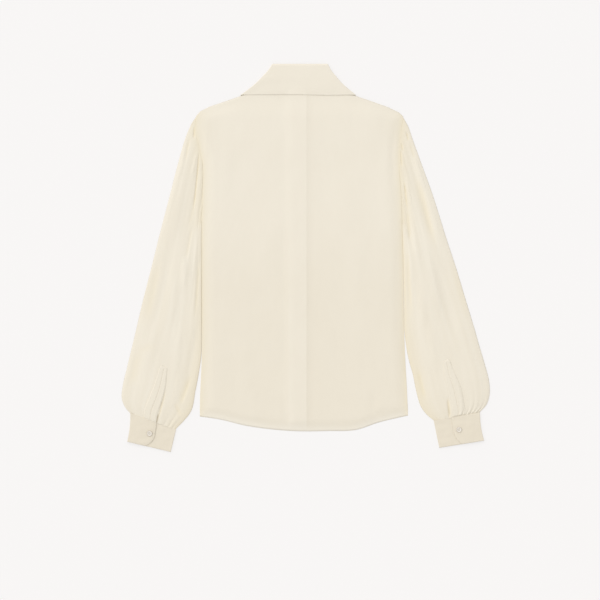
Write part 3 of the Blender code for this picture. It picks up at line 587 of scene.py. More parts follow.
def curve(through, at):
    """The smooth curve through plan points, at shares of its length from 0 to 1."""
    through = np.asarray(through, float)
    knots = length_shares(through)
    slopes = np.gradient(through, knots, axis=0, edge_order=1)
    at = np.atleast_1d(at)
    index = np.clip(np.searchsorted(knots, at, side="right") - 1, 0, len(knots) - 2)
    span = (knots[index + 1] - knots[index])[:, None]
    t = ((at - knots[index]) / span[:, 0])[:, None]
    start, end = through[index], through[index + 1]
    return (
        start * (1 + 2 * t) * (1 - t) ** 2
        + end * t * t * (3 - 2 * t)
        + slopes[index] * span * t * (1 - t) ** 2
        + slopes[index + 1] * span * t * t * (t - 1)
    )


def crossing(through, at, axis):
    """Where the curve through a list, rising or falling along one axis, meets values of it: the other one."""
    dense = curve(through, np.linspace(0, 1, CURVE_SAMPLES))
    along = dense[:, axis]
    order = np.argsort(along)
    return np.interp(at, along[order], dense[order, 1 - axis])


def polyline(line, at):
    """The y of the straight-sided line through a list at given x values."""
    line = np.asarray(line, float)
    order = np.argsort(line[:, 0])
    return np.interp(at, line[order, 0], line[order, 1])


def between(corners, down, across):
    """The values between four corners, upper two first, at shares down and across."""
    upper_left, upper_right, lower_left, lower_right = corners
    upper = upper_left * (1 - across) + upper_right * across
    lower = lower_left * (1 - across) + lower_right * across
    return upper * (1 - down) + lower * down


def patch(top, bottom, left, right, u, v):
    """Plan points inside four curved edges: top and bottom run along u, left and right along v."""
    corners = [np.array(end) for end in (top[0], top[-1], bottom[0], bottom[-1])]
    top, bottom, left, right = curve(top, u), curve(bottom, u), curve(left, v), curve(right, v)
    u, v = u[None, :, None], v[:, None, None]
    across = left[:, None] * (1 - u) + right[:, None] * u
    down = top[None] * (1 - v) + bottom[None] * v
    return across + down - between(corners, v, u)


def lift_to(plan, heights):
    """The plan points with their heights."""
    return np.concatenate([plan, heights[..., None]], axis=-1)


def fold_height(folds, x, y):
    """Soft ridges (height above 0) and troughs (below 0) along bent lines, one side steeper by the lean."""
    total = np.zeros_like(x)
    steps = np.linspace(0, 1, FOLD_STEPS)[:, None]
    for fold in folds:
        start, middle, end = np.array(fold[:6]).reshape(3, 2)
        path = (1 - steps) ** 2 * start + 2 * steps * (1 - steps) * middle + steps**2 * end
        nearest, share, side = np.full(x.shape, np.inf), np.zeros_like(x), np.zeros_like(x)
        for i, (dx, dy) in enumerate(np.diff(path, axis=0)):
            from_x, from_y = x - path[i, 0], y - path[i, 1]
            t = np.clip((from_x * dx + from_y * dy) / (dx * dx + dy * dy), 0, 1)
            apart = np.hypot(from_x - t * dx, from_y - t * dy)
            closer = apart < nearest
            nearest = np.where(closer, apart, nearest)
            share = np.where(closer, (i + t) / (FOLD_STEPS - 1), share)
            side = np.where(closer, np.sign(from_x * dy - from_y * dx), side)
        width = fold.width * (1 + fold.lean * side)
        total += fold.height * faded(share, FOLD_END_SHARE) * np.exp(-((nearest / width) ** 2))
    return total


def undulation(x, y, size_x, size_y, seed):
    """Smooth uneven waves of about the given sizes, from -1 to 1, the same on every run."""
    lattice = np.random.RandomState(seed).uniform(-1, 1, (LATTICE, LATTICE))
    column, row = x / size_x + LATTICE / 2, y / size_y + LATTICE / 2
    c, r = np.floor(column).astype(int), np.floor(row).astype(int)
    c0, c1, r0, r1 = c % LATTICE, (c + 1) % LATTICE, r % LATTICE, (r + 1) % LATTICE
    corners = lattice[r0, c0], lattice[r0, c1], lattice[r1, c0], lattice[r1, c1]
    return between(corners, smooth(row - r), smooth(column - c))


def inside_grid(grid, rows, columns):
    """Points on a grid's surface at shares of its rows and columns, straight between its own points."""
    row = np.clip(rows, 0, 1) * (grid.shape[0] - 1)
    column = np.clip(columns, 0, 1) * (grid.shape[1] - 1)
    r, c = np.minimum(row.astype(int), grid.shape[0] - 2), np.minimum(column.astype(int), grid.shape[1] - 2)
    corners = grid[r, c], grid[r, c + 1], grid[r + 1, c], grid[r + 1, c + 1]
    return between(corners, (row - r)[..., None], (column - c)[..., None])


# The body: two fronts and the back, which lies on them with its side seams turned down.


def button_rise(x, y):
    """How far the fronts stand off the surface where a button lies under them."""
    rise = np.zeros_like(x)
    for button_y in (*FRONT_BUTTON_YS, STAND_BUTTON_Y):
        from_button = np.hypot(x - BUTTON_X, y - button_y)
        rise = np.maximum(rise, BUTTON_RISE * eased(from_button, BUTTON_RISE_OUTER, BUTTON_RISE_INNER))
    return rise


def collar_rise(x, y):
    """How far the fronts stand off the surface over the collar points."""
    return COLLAR_RISE * eased(np.abs(x - COLLAR_X), *COLLAR_RISE_HALF_WIDTH) * eased(y, *COLLAR_RISE_Y)


def right_front_z(x, y):
    """The right front lies nearest the surface, and its edge laps under the left front."""
    creases = fold_height(FRONT_CREASES, x, y)
    return FLOOR_LAYER + np.maximum(button_rise(x, y), collar_rise(x, y)) + creases


def left_front_z(x, y):
    """The left front climbs over the right front's edge to make the band of double cloth."""
    return right_front_z(x, y) + BAND_STEP * smooth((x - BAND_LEFT_X + 1 + BAND_RAMP) / BAND_RAMP)


def edge_distance(x, y):
    """How far inside the back's edges a plan point lies, measured along x and y."""
    left, right = crossing(LEFT_SIDE, y, 1), crossing(RIGHT_SIDE, y, 1)
    shoulder = polyline(LEFT_SHOULDER + RIGHT_SHOULDER[::-1], x)
    return np.minimum.reduce([x - left, right - x, shoulder - y, y - crossing(HEM, x, 0)])


def band_height(x):
    """The front band felt through the back: a slow rise at its free edge, a crisp drop at the other."""
    rise = smooth((x - BAND_LEFT_X + BAND_SHOW_RAMP) / BAND_SHOW_SPAN)
    return rise * np.where(x < BAND_RIGHT_X, 1.0, np.exp(-(x - BAND_RIGHT_X) / BAND_SHOW_DROP))


def back_z(x, y):
    """The back lies on the fronts at its edges, shows the step of their band and holds air between."""
    from_edge = edge_distance(x, y)
    loft = LOFT * smooth(from_edge / LOFT_RIM) * smooth((LOFT_TOP_Y - y) / LOFT_TOP_RAMP)
    at_neck = eased(np.abs(x - COLLAR_X), *NECK_HALF_WIDTH) * smooth((y - LOFT_TOP_Y) / LOFT_RIM)
    off_front = smooth((y - crossing(HEM, x, 0)) / HEM_FALL)
    layers = LAYER + collar_rise(x, y) + BAND_STEP * np.maximum(band_height(x), at_neck)
    z = FLOOR_LAYER + layers * off_front + loft
    broad, fine = BACK_WAVES
    soft = BACK_WAVE * undulation(x, y, *broad) + FINE_WAVE_SHARE * BACK_WAVE * undulation(x, y, *fine)
    creases = fold_height(BODY_FOLDS + BACK_CREASES, x, y) + soft
    roll = HEM_ROLL * np.exp(-(((from_edge - HEM_WIDTH) / HEM_ROLL_WIDTH) ** 2)) * (y < HEM_ROLL_TOP_Y)
    side = crossing(RIGHT_SIDE, y, 1) - x
    depth = ARMHOLE_FALL + (SIDE_FALL - ARMHOLE_FALL) * smooth((SIDE_FALL_TOP_Y - y) / SEAM_FADE)
    fall = depth * np.exp(-((np.maximum(side, 0) / SIDE_FALL_WIDTH) ** 2))
    fall = fall * smooth((y - SIDE_FALL_END_Y) / LOFT_RIM)
    return z + creases * smooth(from_edge / CREASE_RIM) - roll - fall


def back_tones(x, y):
    """Back tones: deeper low down and right of the band, lighter on it; painted shade and light by its edges.
    """
    tone = look_up(BACK_TONES, y)
    on_band = smooth((x - BAND_LEFT_X + BAND_TONE_RAMP) / BAND_TONE_RAMP) * (x < BAND_RIGHT_X)
    beside = (x >= BAND_RIGHT_X) * np.exp(-(x - BAND_RIGHT_X) / BESIDE_BAND_REACH)
    tone = tone * (1 - BAND_LIGHTER * on_band) + BESIDE_BAND_TONE * beside
    # Painted shade round the shoulder tips.
    for tip_x, tip_y in SHOULDER_TIPS:
        tone = tone + SHOULDER_SHADE * np.exp(-((np.hypot(x - tip_x, y - tip_y) / SHOULDER_SHADE_REACH) ** 2))
    # Painted shade at the right side seam below the armhole, where the back meets the sleeve.
    side = crossing(RIGHT_SIDE, y, 1) - x
    below = smooth((SIDE_FALL_TOP_Y - y) / SEAM_FADE) * smooth((y - SIDE_FALL_END_Y) / LOFT_RIM)
    tone = tone + SIDE_SHADE * below * np.exp(-np.maximum(side, 0) / SIDE_SHADE_REACH)
    # Painted warm shade along both side seams.
    from_side = np.minimum(side, x - crossing(LEFT_SIDE, y, 1))
    warm_shade = SEAM_WARM_SHADE * np.exp(-np.maximum(from_side, 0) / SEAM_WARM_SHADE_REACH)
    # Painted light along the hem.
    at_hem = smooth(1 - (y - crossing(HEM, x, 0)) / HEM_PAINTED_LIGHT_REACH)
    return {"shade": tone - HEM_PAINTED_LIGHT * at_hem, "warm_shade": warm_shade}


def body_grid(shoulder, neck_edge, left_side, right_side, hem, xs, rows, height):
    """A panel of the body with straight columns, but for those near its side edges, which follow them."""
    share = np.linspace(0, 1, rows)[:, None]
    top = polyline(shoulder + neck_edge, xs)
    side_xs = []
    for side in (left_side, right_side):
        side_y = side[0][1] + (side[-1][1] - side[0][1]) * share[:, 0]
        side_xs.append(crossing(side, side_y, 1) - side[0][0])
    near_left = smooth(1 - (xs - xs[0]) / SIDE_REACH)[None]
    near_right = smooth(1 - (xs[-1] - xs) / SIDE_REACH)[None]
    x = xs[None] + near_left * side_xs[0][:, None] + near_right * side_xs[1][:, None]
    bottom = crossing(hem, x[-1], 0)
    y = top[None] * (1 - share) + bottom[None] * share
    return lift_to(np.stack([x, y], axis=-1), height(x, y))


def spread(start, end, step, *extra):
    """Evenly spaced values with more where they are needed: extra is (from, to, step) for each stretch."""
    values = [np.linspace(start, end, int(round((end - start) / step)) + 1)]
    values += [np.arange(first, last, fine) for first, last, fine in extra]
    return np.unique(np.round(np.concatenate(values), 2))


def turned_down(grid):
    """The grid with its side seams turned down in a quarter round, but for the armholes, which stay flat."""
    sides = []
    for edge, way in ((grid[:, :1], -1), (grid[:, -1:], 1)):
        share = smooth((ARMHOLE_END_Y - edge[..., 1:2]) / SEAM_FADE)
        radius = SEAM_RADIUS * (ARMHOLE_TURN + (1 - ARMHOLE_TURN) * share)
        turn = []
        for angle in np.radians(SEAM_ANGLES):
            turn.append(edge + radius * (way * (np.sin(angle) - 1), 0, np.cos(angle) - 1))
        turn.append(turn[-1] - (0, 0, SEAM_DROP) * (ARMHOLE_TURN + share))
        for column in turn:
            column[..., 2] = np.maximum(column[..., 2], SEAM_LOW_Z)
        sides.append(np.concatenate(turn, axis=1))
    return np.concatenate([sides[0][:, ::-1], grid[:, 1:-1], sides[1]], axis=1)


def front_grid(shoulder, neck, side, edge_x, height):
    """One front, from its shoulder and side to its free edge and a hem a little above the back's."""
    xs = spread(*sorted((shoulder[0].x, edge_x)), FRONT_COLUMN_STEP)
    hem = [Point(x, y + FRONT_HEM_RISE) for x, y in HEM]
    side = side[:-1] + (Point(side[-1].x, side[-1].y + FRONT_HEM_RISE),)
    edge = points((edge_x, FRONT_TOP_Y), (edge_x, 0), (edge_x, crossing(hem, edge_x, 0)))
    sides = (side, edge) if side[0].x < edge_x else (edge, side)
    return body_grid(shoulder, neck, *sides, hem, xs, FRONT_ROWS, height)


def back_grid():
    """The whole back, with finer columns beside its edges and over the band's edge."""
    xs = spread(LEFT_SHOULDER[0].x, RIGHT_SHOULDER[0].x, BACK_COLUMN_STEP, *BACK_FINE_COLUMNS)
    return body_grid(LEFT_SHOULDER[:-1], BACK_NECK + RIGHT_SHOULDER[::-1][1:], LEFT_SIDE, RIGHT_SIDE,
                     HEM, xs, BACK_ROWS, back_z)


# Sleeves: a tube from the armhole to the cuff, flat where it lies and domed above.


def sleeve_dome(across, powers):
    """The height across a flattened tube: 0 at its two folded edges, 1 over most of its width."""
    outer, inner = powers
    power = outer + (inner - outer) * smooth(across)
    return (1 - np.abs(2 * across - 1) ** power) ** (1 / power)


def gather_height(across, distance, gathers):
    """Small pleats that start at a seam, deepest just off it, and die away down the cloth."""
    rate, start = GATHER_SPACING
    phase = gathers.waves * (across + gathers.unevenness * np.sin(rate * across + start))
    share = (across - gathers.start) / (gathers.end - gathers.start)
    size, rate, start = GATHER_LENGTHS
    reach = gathers.length * (1 + size * np.sin(rate * phase + start))
    rise = smooth(distance / GATHER_RISE) * np.exp(-distance / reach)
    size, rate, start = GATHER_DEPTHS
    depth = gathers.height * (1 + size * np.sin(rate * phase + start)) * faded(share, GATHER_END_SHARE)
    return depth * rise * (2 * np.abs(np.sin(np.pi * phase)) - 1)


def armhole_distance(sleeve, plan):
    """How far each plan point of a sleeve lies from its armhole seam."""
    seam = sleeve_plan(sleeve, np.linspace(0, 1, SEAM_SAMPLES), np.zeros(1))[0]
    away = np.full(plan.shape[:2], np.inf)
    for x, y in seam:
        away = np.minimum(away, np.hypot(plan[..., 0] - x, plan[..., 1] - y))
    return away


def sleeve_wave(sleeve, across, along, sizes, number):
    """Uneven waves over a sleeve, from -1 to 1; each number gives its own pattern."""
    return undulation(across * 100, along * 100, *sizes, sleeve.seed + number)


def sleeve_top(sleeve, plan, across, along, from_armhole):
    """The height of the upper cloth of a sleeve at plan points and their shares across and along it."""
    from_cuff = (1 - along) * SLEEVE_LENGTH
    x, y = plan[..., 0], plan[..., 1]
    flush = eased(y, *SEAM_FLUSH_Y)
    near = look_up(GROOVE_HEIGHTS, from_armhole) * (1 - flush) + look_up(FLUSH_HEIGHTS, from_armhole) * flush
    height = np.minimum(look_up(SLEEVE_HEIGHTS, along), near)
    z = EDGE_TURN_Z + (height - EDGE_TURN_Z) * sleeve_dome(across, sleeve.powers)
    inside = faded(across, SLEEVE_SIDE_SHARE)
    seams = smooth(from_armhole / CREASE_RISE) * smooth(from_cuff / GATHER_RISE)
    broad, fine = (sleeve_wave(sleeve, across, along, sizes, i) for i, sizes in enumerate(SLEEVE_WAVES))
    soft = SLEEVE_WAVE * (broad + FINE_WAVE_SHARE * fine)
    z = z + (fold_height(sleeve.folds + sleeve.creases, x, y) + soft) * inside * seams
    at_head = faded(across, HEAD_SIDE_SHARE)
    for gathers in sleeve.head:
        z = z + gather_height(across, from_armhole, gathers) * at_head
    for gathers in sleeve.wrist:
        z = z + gather_height(across, from_cuff, gathers)
    tucked = smooth(from_cuff / (CUFF_TUCK_ROWS * SLEEVE_LENGTH))
    z = np.maximum(z, LEAST_TOP_Z)
    return z * tucked + np.minimum(z, CUFF_TUCK_Z) * (1 - tucked)


def tucked_end(outer_end, inner_end):
    """The two ends of a sleeve's wrist, moved a little way into its cuff."""
    across = (inner_end - outer_end) / np.linalg.norm(inner_end - outer_end)
    down = np.array((across[1], -across[0])) * np.sign(across[0])
    inset = CUFF_TUCK_INSET * across
    return outer_end + CUFF_TUCK * down + inset, inner_end + CUFF_TUCK * down - inset


def sleeve_plan(sleeve, across, along):
    """Plan points of a sleeve: the armhole at along 0, the cuff at 1, its outer edge at across 0."""
    seam = [(x + sleeve.outward * tuck, y) for (x, y), tuck in zip(sleeve.side, ARMHOLE_TUCKS)]
    beside = [(x - sleeve.outward * INNER_CLOSER * (y > GAP_TOP_Y), y) for x, y in sleeve.inner]
    outer_end, inner_end = tucked_end(np.array(sleeve.outer[-1]), np.array(beside[-1]))
    outer = [seam[0], *sleeve.outer[:-1], outer_end]
    inner = [seam[-1], *beside[:-1], inner_end]
    return patch(seam, [outer_end, inner_end], outer, inner, across, along)


def sleeve_shares(columns):
    """Shares across the upper cloth, closer together near the two folded edges."""
    turn = 0.5 - 0.5 * np.cos(np.linspace(0, np.pi, columns))
    return SLEEVE_EVENNESS * np.linspace(0, 1, columns) + (1 - SLEEVE_EVENNESS) * turn


def sleeve_alongs():
    """Shares along a sleeve, closer together at the armhole and the cuff, where it is gathered."""
    steps = np.linspace(0, 1, SLEEVE_ROWS)
    return steps - SLEEVE_END_CLOSENESS * np.sin(2 * np.pi * steps) / (2 * np.pi)


def sleeve_grids(sleeve):
    """The whole tube, over the top from the outer edge and back underneath, its top alone and its tones."""
    along, over = sleeve_alongs(), sleeve_shares(SLEEVE_TOP_COLUMNS)
    across, rows = np.meshgrid(over, along)
    plan = sleeve_plan(sleeve, over, along)
    from_armhole = armhole_distance(sleeve, plan)
    top = lift_to(plan, sleeve_top(sleeve, plan, across, rows, from_armhole))
    under = np.linspace(1 - UNDER_INSET, UNDER_INSET, SLEEVE_UNDER_COLUMNS)
    under_plan = sleeve_plan(sleeve, under[::-1], along)[:, ::-1]
    lift = TUCK_LIFT * smooth(1 - along / TUCK_SHARE) + CUFF_TUCK_UNDER * smooth((along - 1) / TUCK_SHARE + 1)
    inside = faded(under, SLEEVE_SIDE_SHARE) * faded(along, SLEEVE_SIDE_SHARE)[:, None]
    pressed = fold_height(sleeve.folds + sleeve.creases, under_plan[..., 0], under_plan[..., 1])
    lift = lift[:, None] + UNDER_CREASE_SHARE * np.maximum(pressed, 0) * inside
    bottom = lift_to(under_plan, FLOOR_LAYER + lift)
    streaks = sleeve_wave(sleeve, across, rows, SLEEVE_STREAK_SIZES, len(SLEEVE_WAVES))
    tone = look_up(SLEEVE_TONES, rows) + SLEEVE_STREAK * streaks
    from_body = np.minimum(from_armhole, (1 - across) * SLEEVE_WIDTH)
    # Painted shade beside the body, along the armhole and the inner edge.
    tone = tone + sleeve.edge_tone * np.exp(-from_body / EDGE_SHADE_REACH)
    under_tone = np.repeat(tone[:, -1:], SLEEVE_UNDER_COLUMNS, axis=1)
    # Painted shade in the end of the slit.
    hollow_shade = np.zeros((len(along), SLEEVE_TOP_COLUMNS + SLEEVE_UNDER_COLUMNS))
    hollow_shade[:, :SLEEVE_TOP_COLUMNS] = fold_height((sleeve.mouth,), plan[..., 0], plan[..., 1])
    # Painted warm shade in the creases' troughs and beside the body.
    troughs = np.clip(-fold_height(sleeve.creases, plan[..., 0], plan[..., 1]) / WARM_SHADE_DEPTH, 0, 1)
    warm_shade = np.zeros_like(hollow_shade)
    beside = BESIDE_WARM_SHADE * np.exp(-from_body / BESIDE_WARM_SHADE_REACH)
    warm_shade[:, :SLEEVE_TOP_COLUMNS] = beside + CREASE_WARM_SHADE * troughs
    tones = {"shade": np.concatenate([tone, under_tone], axis=1), "hollow_shade": np.clip(hollow_shade, 0, 1),
             "warm_shade": np.clip(warm_shade, 0, 1)}
    return np.concatenate([top, bottom], axis=1), top, tones


def on_sleeve(top, along, across):
    """Points on a sleeve's upper cloth at shares along and across it."""
    row = np.interp(along, sleeve_alongs(), np.linspace(0, 1, SLEEVE_ROWS))
    column = np.interp(across, sleeve_shares(SLEEVE_TOP_COLUMNS), np.linspace(0, 1, SLEEVE_TOP_COLUMNS))
    return inside_grid(top, row, column)


def placket_grid(sleeve, top, end_shade):
    """The strip over the slit, raised from the sleeve's own cloth with its edges down, and its tones."""
    along, left, right = np.array(sleeve.placket).T
    steps = np.linspace(0, 1, PLACKET_ROWS)[:, None]
    knots = np.linspace(0, 1, len(along))
    rows = np.interp(steps, knots, along) + np.zeros((1, PLACKET_COLUMNS))
    part = np.linspace(0, 1, PLACKET_COLUMNS)[None]
    across = np.interp(steps, knots, left) * (1 - part) + np.interp(steps, knots, right) * part
    strip = on_sleeve(top, rows, across)
    edge = faded(part, PLACKET_EDGE) * faded(steps, PLACKET_END_SHARE)
    line = np.exp(-(((part - PLACKET_SEAM) / PLACKET_SEAM_WIDTH) ** 2)) * smooth(steps / PLACKET_SEAM_START)
    strip[..., 2] += PLACKET_REST + PLACKET_RISE * edge - PLACKET_SEAM_DEPTH * line
    # Painted shade at the placket's end, where it meets the cuff.
    at_cuff = smooth((steps - PLACKET_END) / PLACKET_END_RAMP) + np.zeros_like(part)
    # Painted shade along the groove of its seam.
    return strip, {"shade": PLACKET_TONE + PLACKET_SEAM_SHADE * line, "hollow_shade": end_shade * at_cuff}


def cuff_grid(cuff):
    """The band, from its buttoned end round the outer edge, underneath and back inside."""
    top, low = np.array((cuff.top_out, cuff.top_in)), np.array((cuff.low_out, cuff.low_in))
    rows = []
    for share in np.linspace(0, 1, CUFF_ROWS) ** CUFF_ROW_POWER:
        start, end = top * (1 - share) + low * share
        bowed = CUFF_BOW * np.sin(np.pi * share)
        start = start + (end - start) / np.linalg.norm(end - start) * bowed
        width = np.linalg.norm(end - start)
        corner = np.clip((share - CUFF_CORNER_START) / (1 - CUFF_CORNER_START), 0, 1) ** CUFF_CORNER_POWER
        lap = width * (cuff.lap_end + (cuff.lap_corner - cuff.lap_end) * corner)
        steps = np.linspace(1, 0, CUFF_LAP_COLUMNS, endpoint=False)
        crown = CUFF_CROWN * np.sin(np.pi * steps)
        over = CUFF_LAP_Z + crown * np.sin(np.pi * (CUFF_CROWN_START + CUFF_CROWN_SPAN * share))
        seam = CUFF_SEAM_DROP * np.exp(-share / CUFF_SEAM_REACH)
        over = over - CUFF_END_DROP * np.exp(-lap * (1 - steps) / CUFF_END_REACH) - seam
        route = list(zip(lap * steps, over))
        route += edge_turn(CUFF_LAP_Z, CUFF_LOW_Z, 0.0, 1)
        route += [(width * part, CUFF_LOW_Z) for part in np.linspace(0, 1, CUFF_UNDER_COLUMNS)[1:-1]]
        route += edge_turn(CUFF_LOW_Z, CUFF_INNER_Z, width, -1)
        inner = np.linspace(1, CUFF_INNER_END, CUFF_INNER_COLUMNS)[1:]
        route += [(width * part, CUFF_INNER_Z) for part in inner]
        across, z = np.array(route).T
        plan = start + (end - start) * (across / width)[:, None]
        wave = undulation(plan[:, 0], plan[:, 1], *CUFF_WAVES) * (z > CUFF_INNER_Z - CUFF_WAVE_LOW)
        rows.append(lift_to(plan, z + CUFF_WAVE * wave))
    return np.array(rows)


def edge_turn(z_from, z_to, edge, inward):
    """The half circle in which a wall turns over at an edge, as (across, z) pairs."""
    radius = abs(z_from - z_to) / 2
    middle = (z_from + z_to) / 2
    turn = []
    for angle in np.linspace(0, np.pi, TURN_STEPS):
        out = radius * np.sin(angle)
        across = edge + inward * ((radius - out) * TURN_FLATNESS + SILK_THICKNESS / 2)
        turn.append((across, middle + (z_from - middle) * np.cos(angle)))
    return turn


# The collar and its stand: bands that run from one front end round behind the neck to the other.


def mirrored(half):
    """The points of the left half, mirrored to the right, where the collar lies a little closer in."""
    return [(2 * COLLAR_X - x - COLLAR_LEAN * (COLLAR_FOLD[0].y - y), y) for x, y in half]


def turned_edge(fold, shares, tops, low, outward):
    """Columns in which a band turns over a fold, upper first, with a half circle for each row."""
    line = curve(fold, shares)
    ahead = curve(fold, np.clip(shares + TURN_SPAN, 0, 1)) - curve(fold, np.clip(shares - TURN_SPAN, 0, 1))
    inward = np.stack([-ahead[:, 1], ahead[:, 0]], axis=1) * -outward
    inward /= np.linalg.norm(inward, axis=1, keepdims=True)
    columns = []
    turns, middle = (tops - low) / 2, (tops + low) / 2
    for angle in np.linspace(0, np.pi, TURN_STEPS):
        plan = line + inward * (turns * TURN_FLATNESS * (1 - np.sin(angle)) + WALL / 2)[:, None]
        columns.append(lift_to(plan, middle + turns * np.cos(angle)))
    return np.stack(columns, axis=1)


def collar_grid():
    """The fall behind the neck, lying on the back, and under the fronts its two points."""
    shares = np.concatenate([COLLAR_FIRST_ROWS, np.linspace(COLLAR_FIRST_ROWS[-1], 1, COLLAR_ROWS)[1:]])
    turns = np.interp(shares, COLLAR_FIRST_ROWS, np.linspace(COLLAR_TURN_START, 1, len(COLLAR_FIRST_ROWS)))
    tops = look_up(COLLAR_TOPS, shares)
    low = COLLAR_LOW_Z * turns + TURN_Z * (1 - turns)
    steps = np.linspace(COLLAR_EDGE_INSET, 1 - COLLAR_EDGE_INSET, COLLAR_BACK_COLUMNS)
    roll = [COLLAR_FOLD[0], mirrored(COLLAR_FOLD)[0]]
    fall = [COLLAR_FOLD[-1], *COLLAR_FALL, mirrored(COLLAR_FOLD)[-1]]
    plan = patch(roll, fall, COLLAR_FOLD, mirrored(COLLAR_FOLD), steps, shares)
    top_z = np.repeat(tops[:, None], len(steps), axis=1)
    beside, below = COLLAR_CALM
    inside = faded(steps, beside)[None] * smooth(shares / below)[:, None]
    wave = undulation(plan[..., 0], plan[..., 1], *COLLAR_WAVES)
    top_z = top_z + inside * (COLLAR_WAVE * wave + fold_height(COLLAR_CREASES, plan[..., 0], plan[..., 1]))
    rest = eased(shares, COLLAR_REST_FROM, 1)[:, None] * faded(steps, COLLAR_REST_SIDE)[None]
    top_z = top_z * (1 - rest) + (back_z(plan[..., 0], plan[..., 1]) + COLLAR_REST) * rest
    back = lift_to(plan, top_z)
    fronts = []
    steps = np.linspace(0, 1, COLLAR_FRONT_COLUMNS + 1)[1:]
    for flip in (list, mirrored):
        edges = (COLLAR_ROLL_FRONT, COLLAR_OUTER_FRONT, COLLAR_FOLD, (COLLAR_ROLL_FRONT[-1], COLLAR_TIP))
        plan = patch(*(flip(edge) for edge in edges), steps, shares)
        fronts.append(lift_to(plan, np.repeat(low[:, None], len(steps), axis=1)))
    return joined_round(COLLAR_FOLD, shares, tops, low, fronts, back)


def joined_round(fold, shares, tops, low, fronts, back):
    """A whole band: the left front, a turn over the fold, the back, a turn over its mirror and the right."""
    left_front, right_front = fronts
    left_turn = turned_edge(fold, shares, tops, low, -1)
    right_turn = turned_edge(mirrored(fold), shares, tops, low, 1)
    return np.concatenate([left_front[:, ::-1], left_turn[:, ::-1], back, right_turn, right_front], axis=1)


def seam_points(neck, toward):
    """Evenly spaced points of a panel's neck edge, moved off it by the gap of a seam."""
    xs = np.linspace(*sorted((neck[0].x, neck[-1].x)), STAND_COLUMNS)
    own = np.stack([xs, polyline(neck, xs)], axis=1) + (toward * SEAM_GAP, SEAM_GAP)
    return own if neck[0].x < neck[-1].x else own[::-1]


def stand_grid():
    """The stand behind the neck and down the two fronts to the button."""
    shares = np.linspace(STAND_START, 1, STAND_ROWS)
    tops, low = np.full(len(shares), TURN_Z + STAND_TURN), np.full(len(shares), TURN_Z - STAND_TURN)
    seam = seam_points(BACK_NECK, 0)
    roll = [STAND_FOLD[0], mirrored(STAND_FOLD)[0]]
    plan = patch(roll, seam, STAND_FOLD, mirrored(STAND_FOLD), length_shares(seam), shares)[:, 1:-1]
    back = lift_to(plan, np.full(plan.shape[:2], TURN_Z + STAND_TURN))
    fronts = []
    for flip, neck, toward, height in (
        (list, LEFT_FRONT_NECK, 1, left_front_z),
        (mirrored, RIGHT_FRONT_NECK, -1, right_front_z),
    ):
        seam = seam_points(neck, toward)
        roll = flip(STAND_ROLL_FRONT[:-1]) + [(neck[-1].x, STAND_ROLL_FRONT[-1].y)]
        end = [roll[-1], seam[-1]]
        plan = patch(roll, seam, flip(STAND_FOLD), end, length_shares(seam), shares)[:, 1:]
        fronts.append(lift_to(plan, height(plan[..., 0], plan[..., 1])))
    return joined_round(STAND_FOLD, shares, tops, low, fronts, back)


# Objects: every piece is a mesh in metres, and each cloth has its own grain, for the weave to follow.


def grain_of(grid):
    """The distance of each point across and along the cloth, from its middle column and first row."""
    across, along = lengths(grid, 1), lengths(grid)
    return np.stack([across - across[:, [grid.shape[1] // 2]], along, np.zeros_like(along)], axis=-1)


def add_attribute(mesh, name, kind, values):
    layer = mesh.attributes.new(name, kind, "POINT")
    layer.data.foreach_set("vector" if kind == "FLOAT_VECTOR" else "value", np.ravel(values))


def grid_faces(rows, columns, closed):
    """The faces of a grid of points; a closed one joins its last column to its first."""
    r, c = np.meshgrid(np.arange(rows - 1), np.arange(columns if closed else columns - 1), indexing="ij")
    after = (c + 1) % columns
    corners = (r * columns + c, (r + 1) * columns + c, (r + 1) * columns + after, r * columns + after)
    return np.stack(corners, axis=-1).reshape(-1, 4).tolist()


def add_object(name, data):
    made = bpy.data.objects.new(name, data)
    bpy.context.scene.collection.objects.link(made)
    return made


def mesh_of(name, at, faces, finish, solid=None):
    """A piece from points in millimetres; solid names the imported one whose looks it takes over."""
    mesh = bpy.data.meshes.new(name)
    mesh.from_pydata((np.asarray(at) * MM).tolist(), [], faces)
    mesh.shade_smooth()
    mesh.materials.append(finish)
    made = add_object(name, mesh)
    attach(made, "root")
    if solid:
        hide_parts(solid)
    return made


def cloth(solid, grid, finish, thickness=SILK_THICKNESS, tube=False, tones=None, name=None):
    """Cloth in place of a solid: a grid of points, thickened both ways, with its tones by their names."""
    faces = grid_faces(*grid.shape[:2], tube)
    made = mesh_of(f"{name or solid}_cloth", grid.reshape(-1, 3), faces, finish, solid)
    add_attribute(made.data, "grain", "FLOAT_VECTOR", grain_of(grid))
    for tone, values in (tones or {}).items():
        add_attribute(made.data, tone, "FLOAT", values)
    thicken = made.modifiers.new("Cloth", "SOLIDIFY")
    thicken.thickness = thickness * MM
    thicken.offset = 0.0
    return made


def stitch_points(start, end, width):
    """The points of one stitch: a small spindle that lies on the cloth between two needle holes."""
    along = end - start
    side = np.cross((0, 0, 1.0), along)
    side = side / np.linalg.norm(side)
    rise = np.cross(along, side)
    rise = rise / np.linalg.norm(rise)
    at = [start]
    for share, size in STITCH_RINGS:
        for angle in np.linspace(0, 2 * np.pi, STITCH_SIDES, endpoint=False):
            out = side * np.cos(angle) + rise * np.sin(angle) * STITCH_FLATNESS
            at.append(start + along * share + out * size * width / 2)
    return [*at, end]


def stitch_faces(first):
    """The faces of one stitch whose points begin at an index."""
    rings, sides = len(STITCH_RINGS), STITCH_SIDES
    last = first + 1 + rings * sides
    faces = []
    for i in range(sides):
        after = (i + 1) % sides
        faces.append((first, first + 1 + after, first + 1 + i))
        faces.append((last, last - sides + i, last - sides + after))
        for ring in range(rings - 1):
            low, high = first + 1 + ring * sides, first + 1 + (ring + 1) * sides
            faces.append((low + i, low + after, high + after, high + i))
    return faces


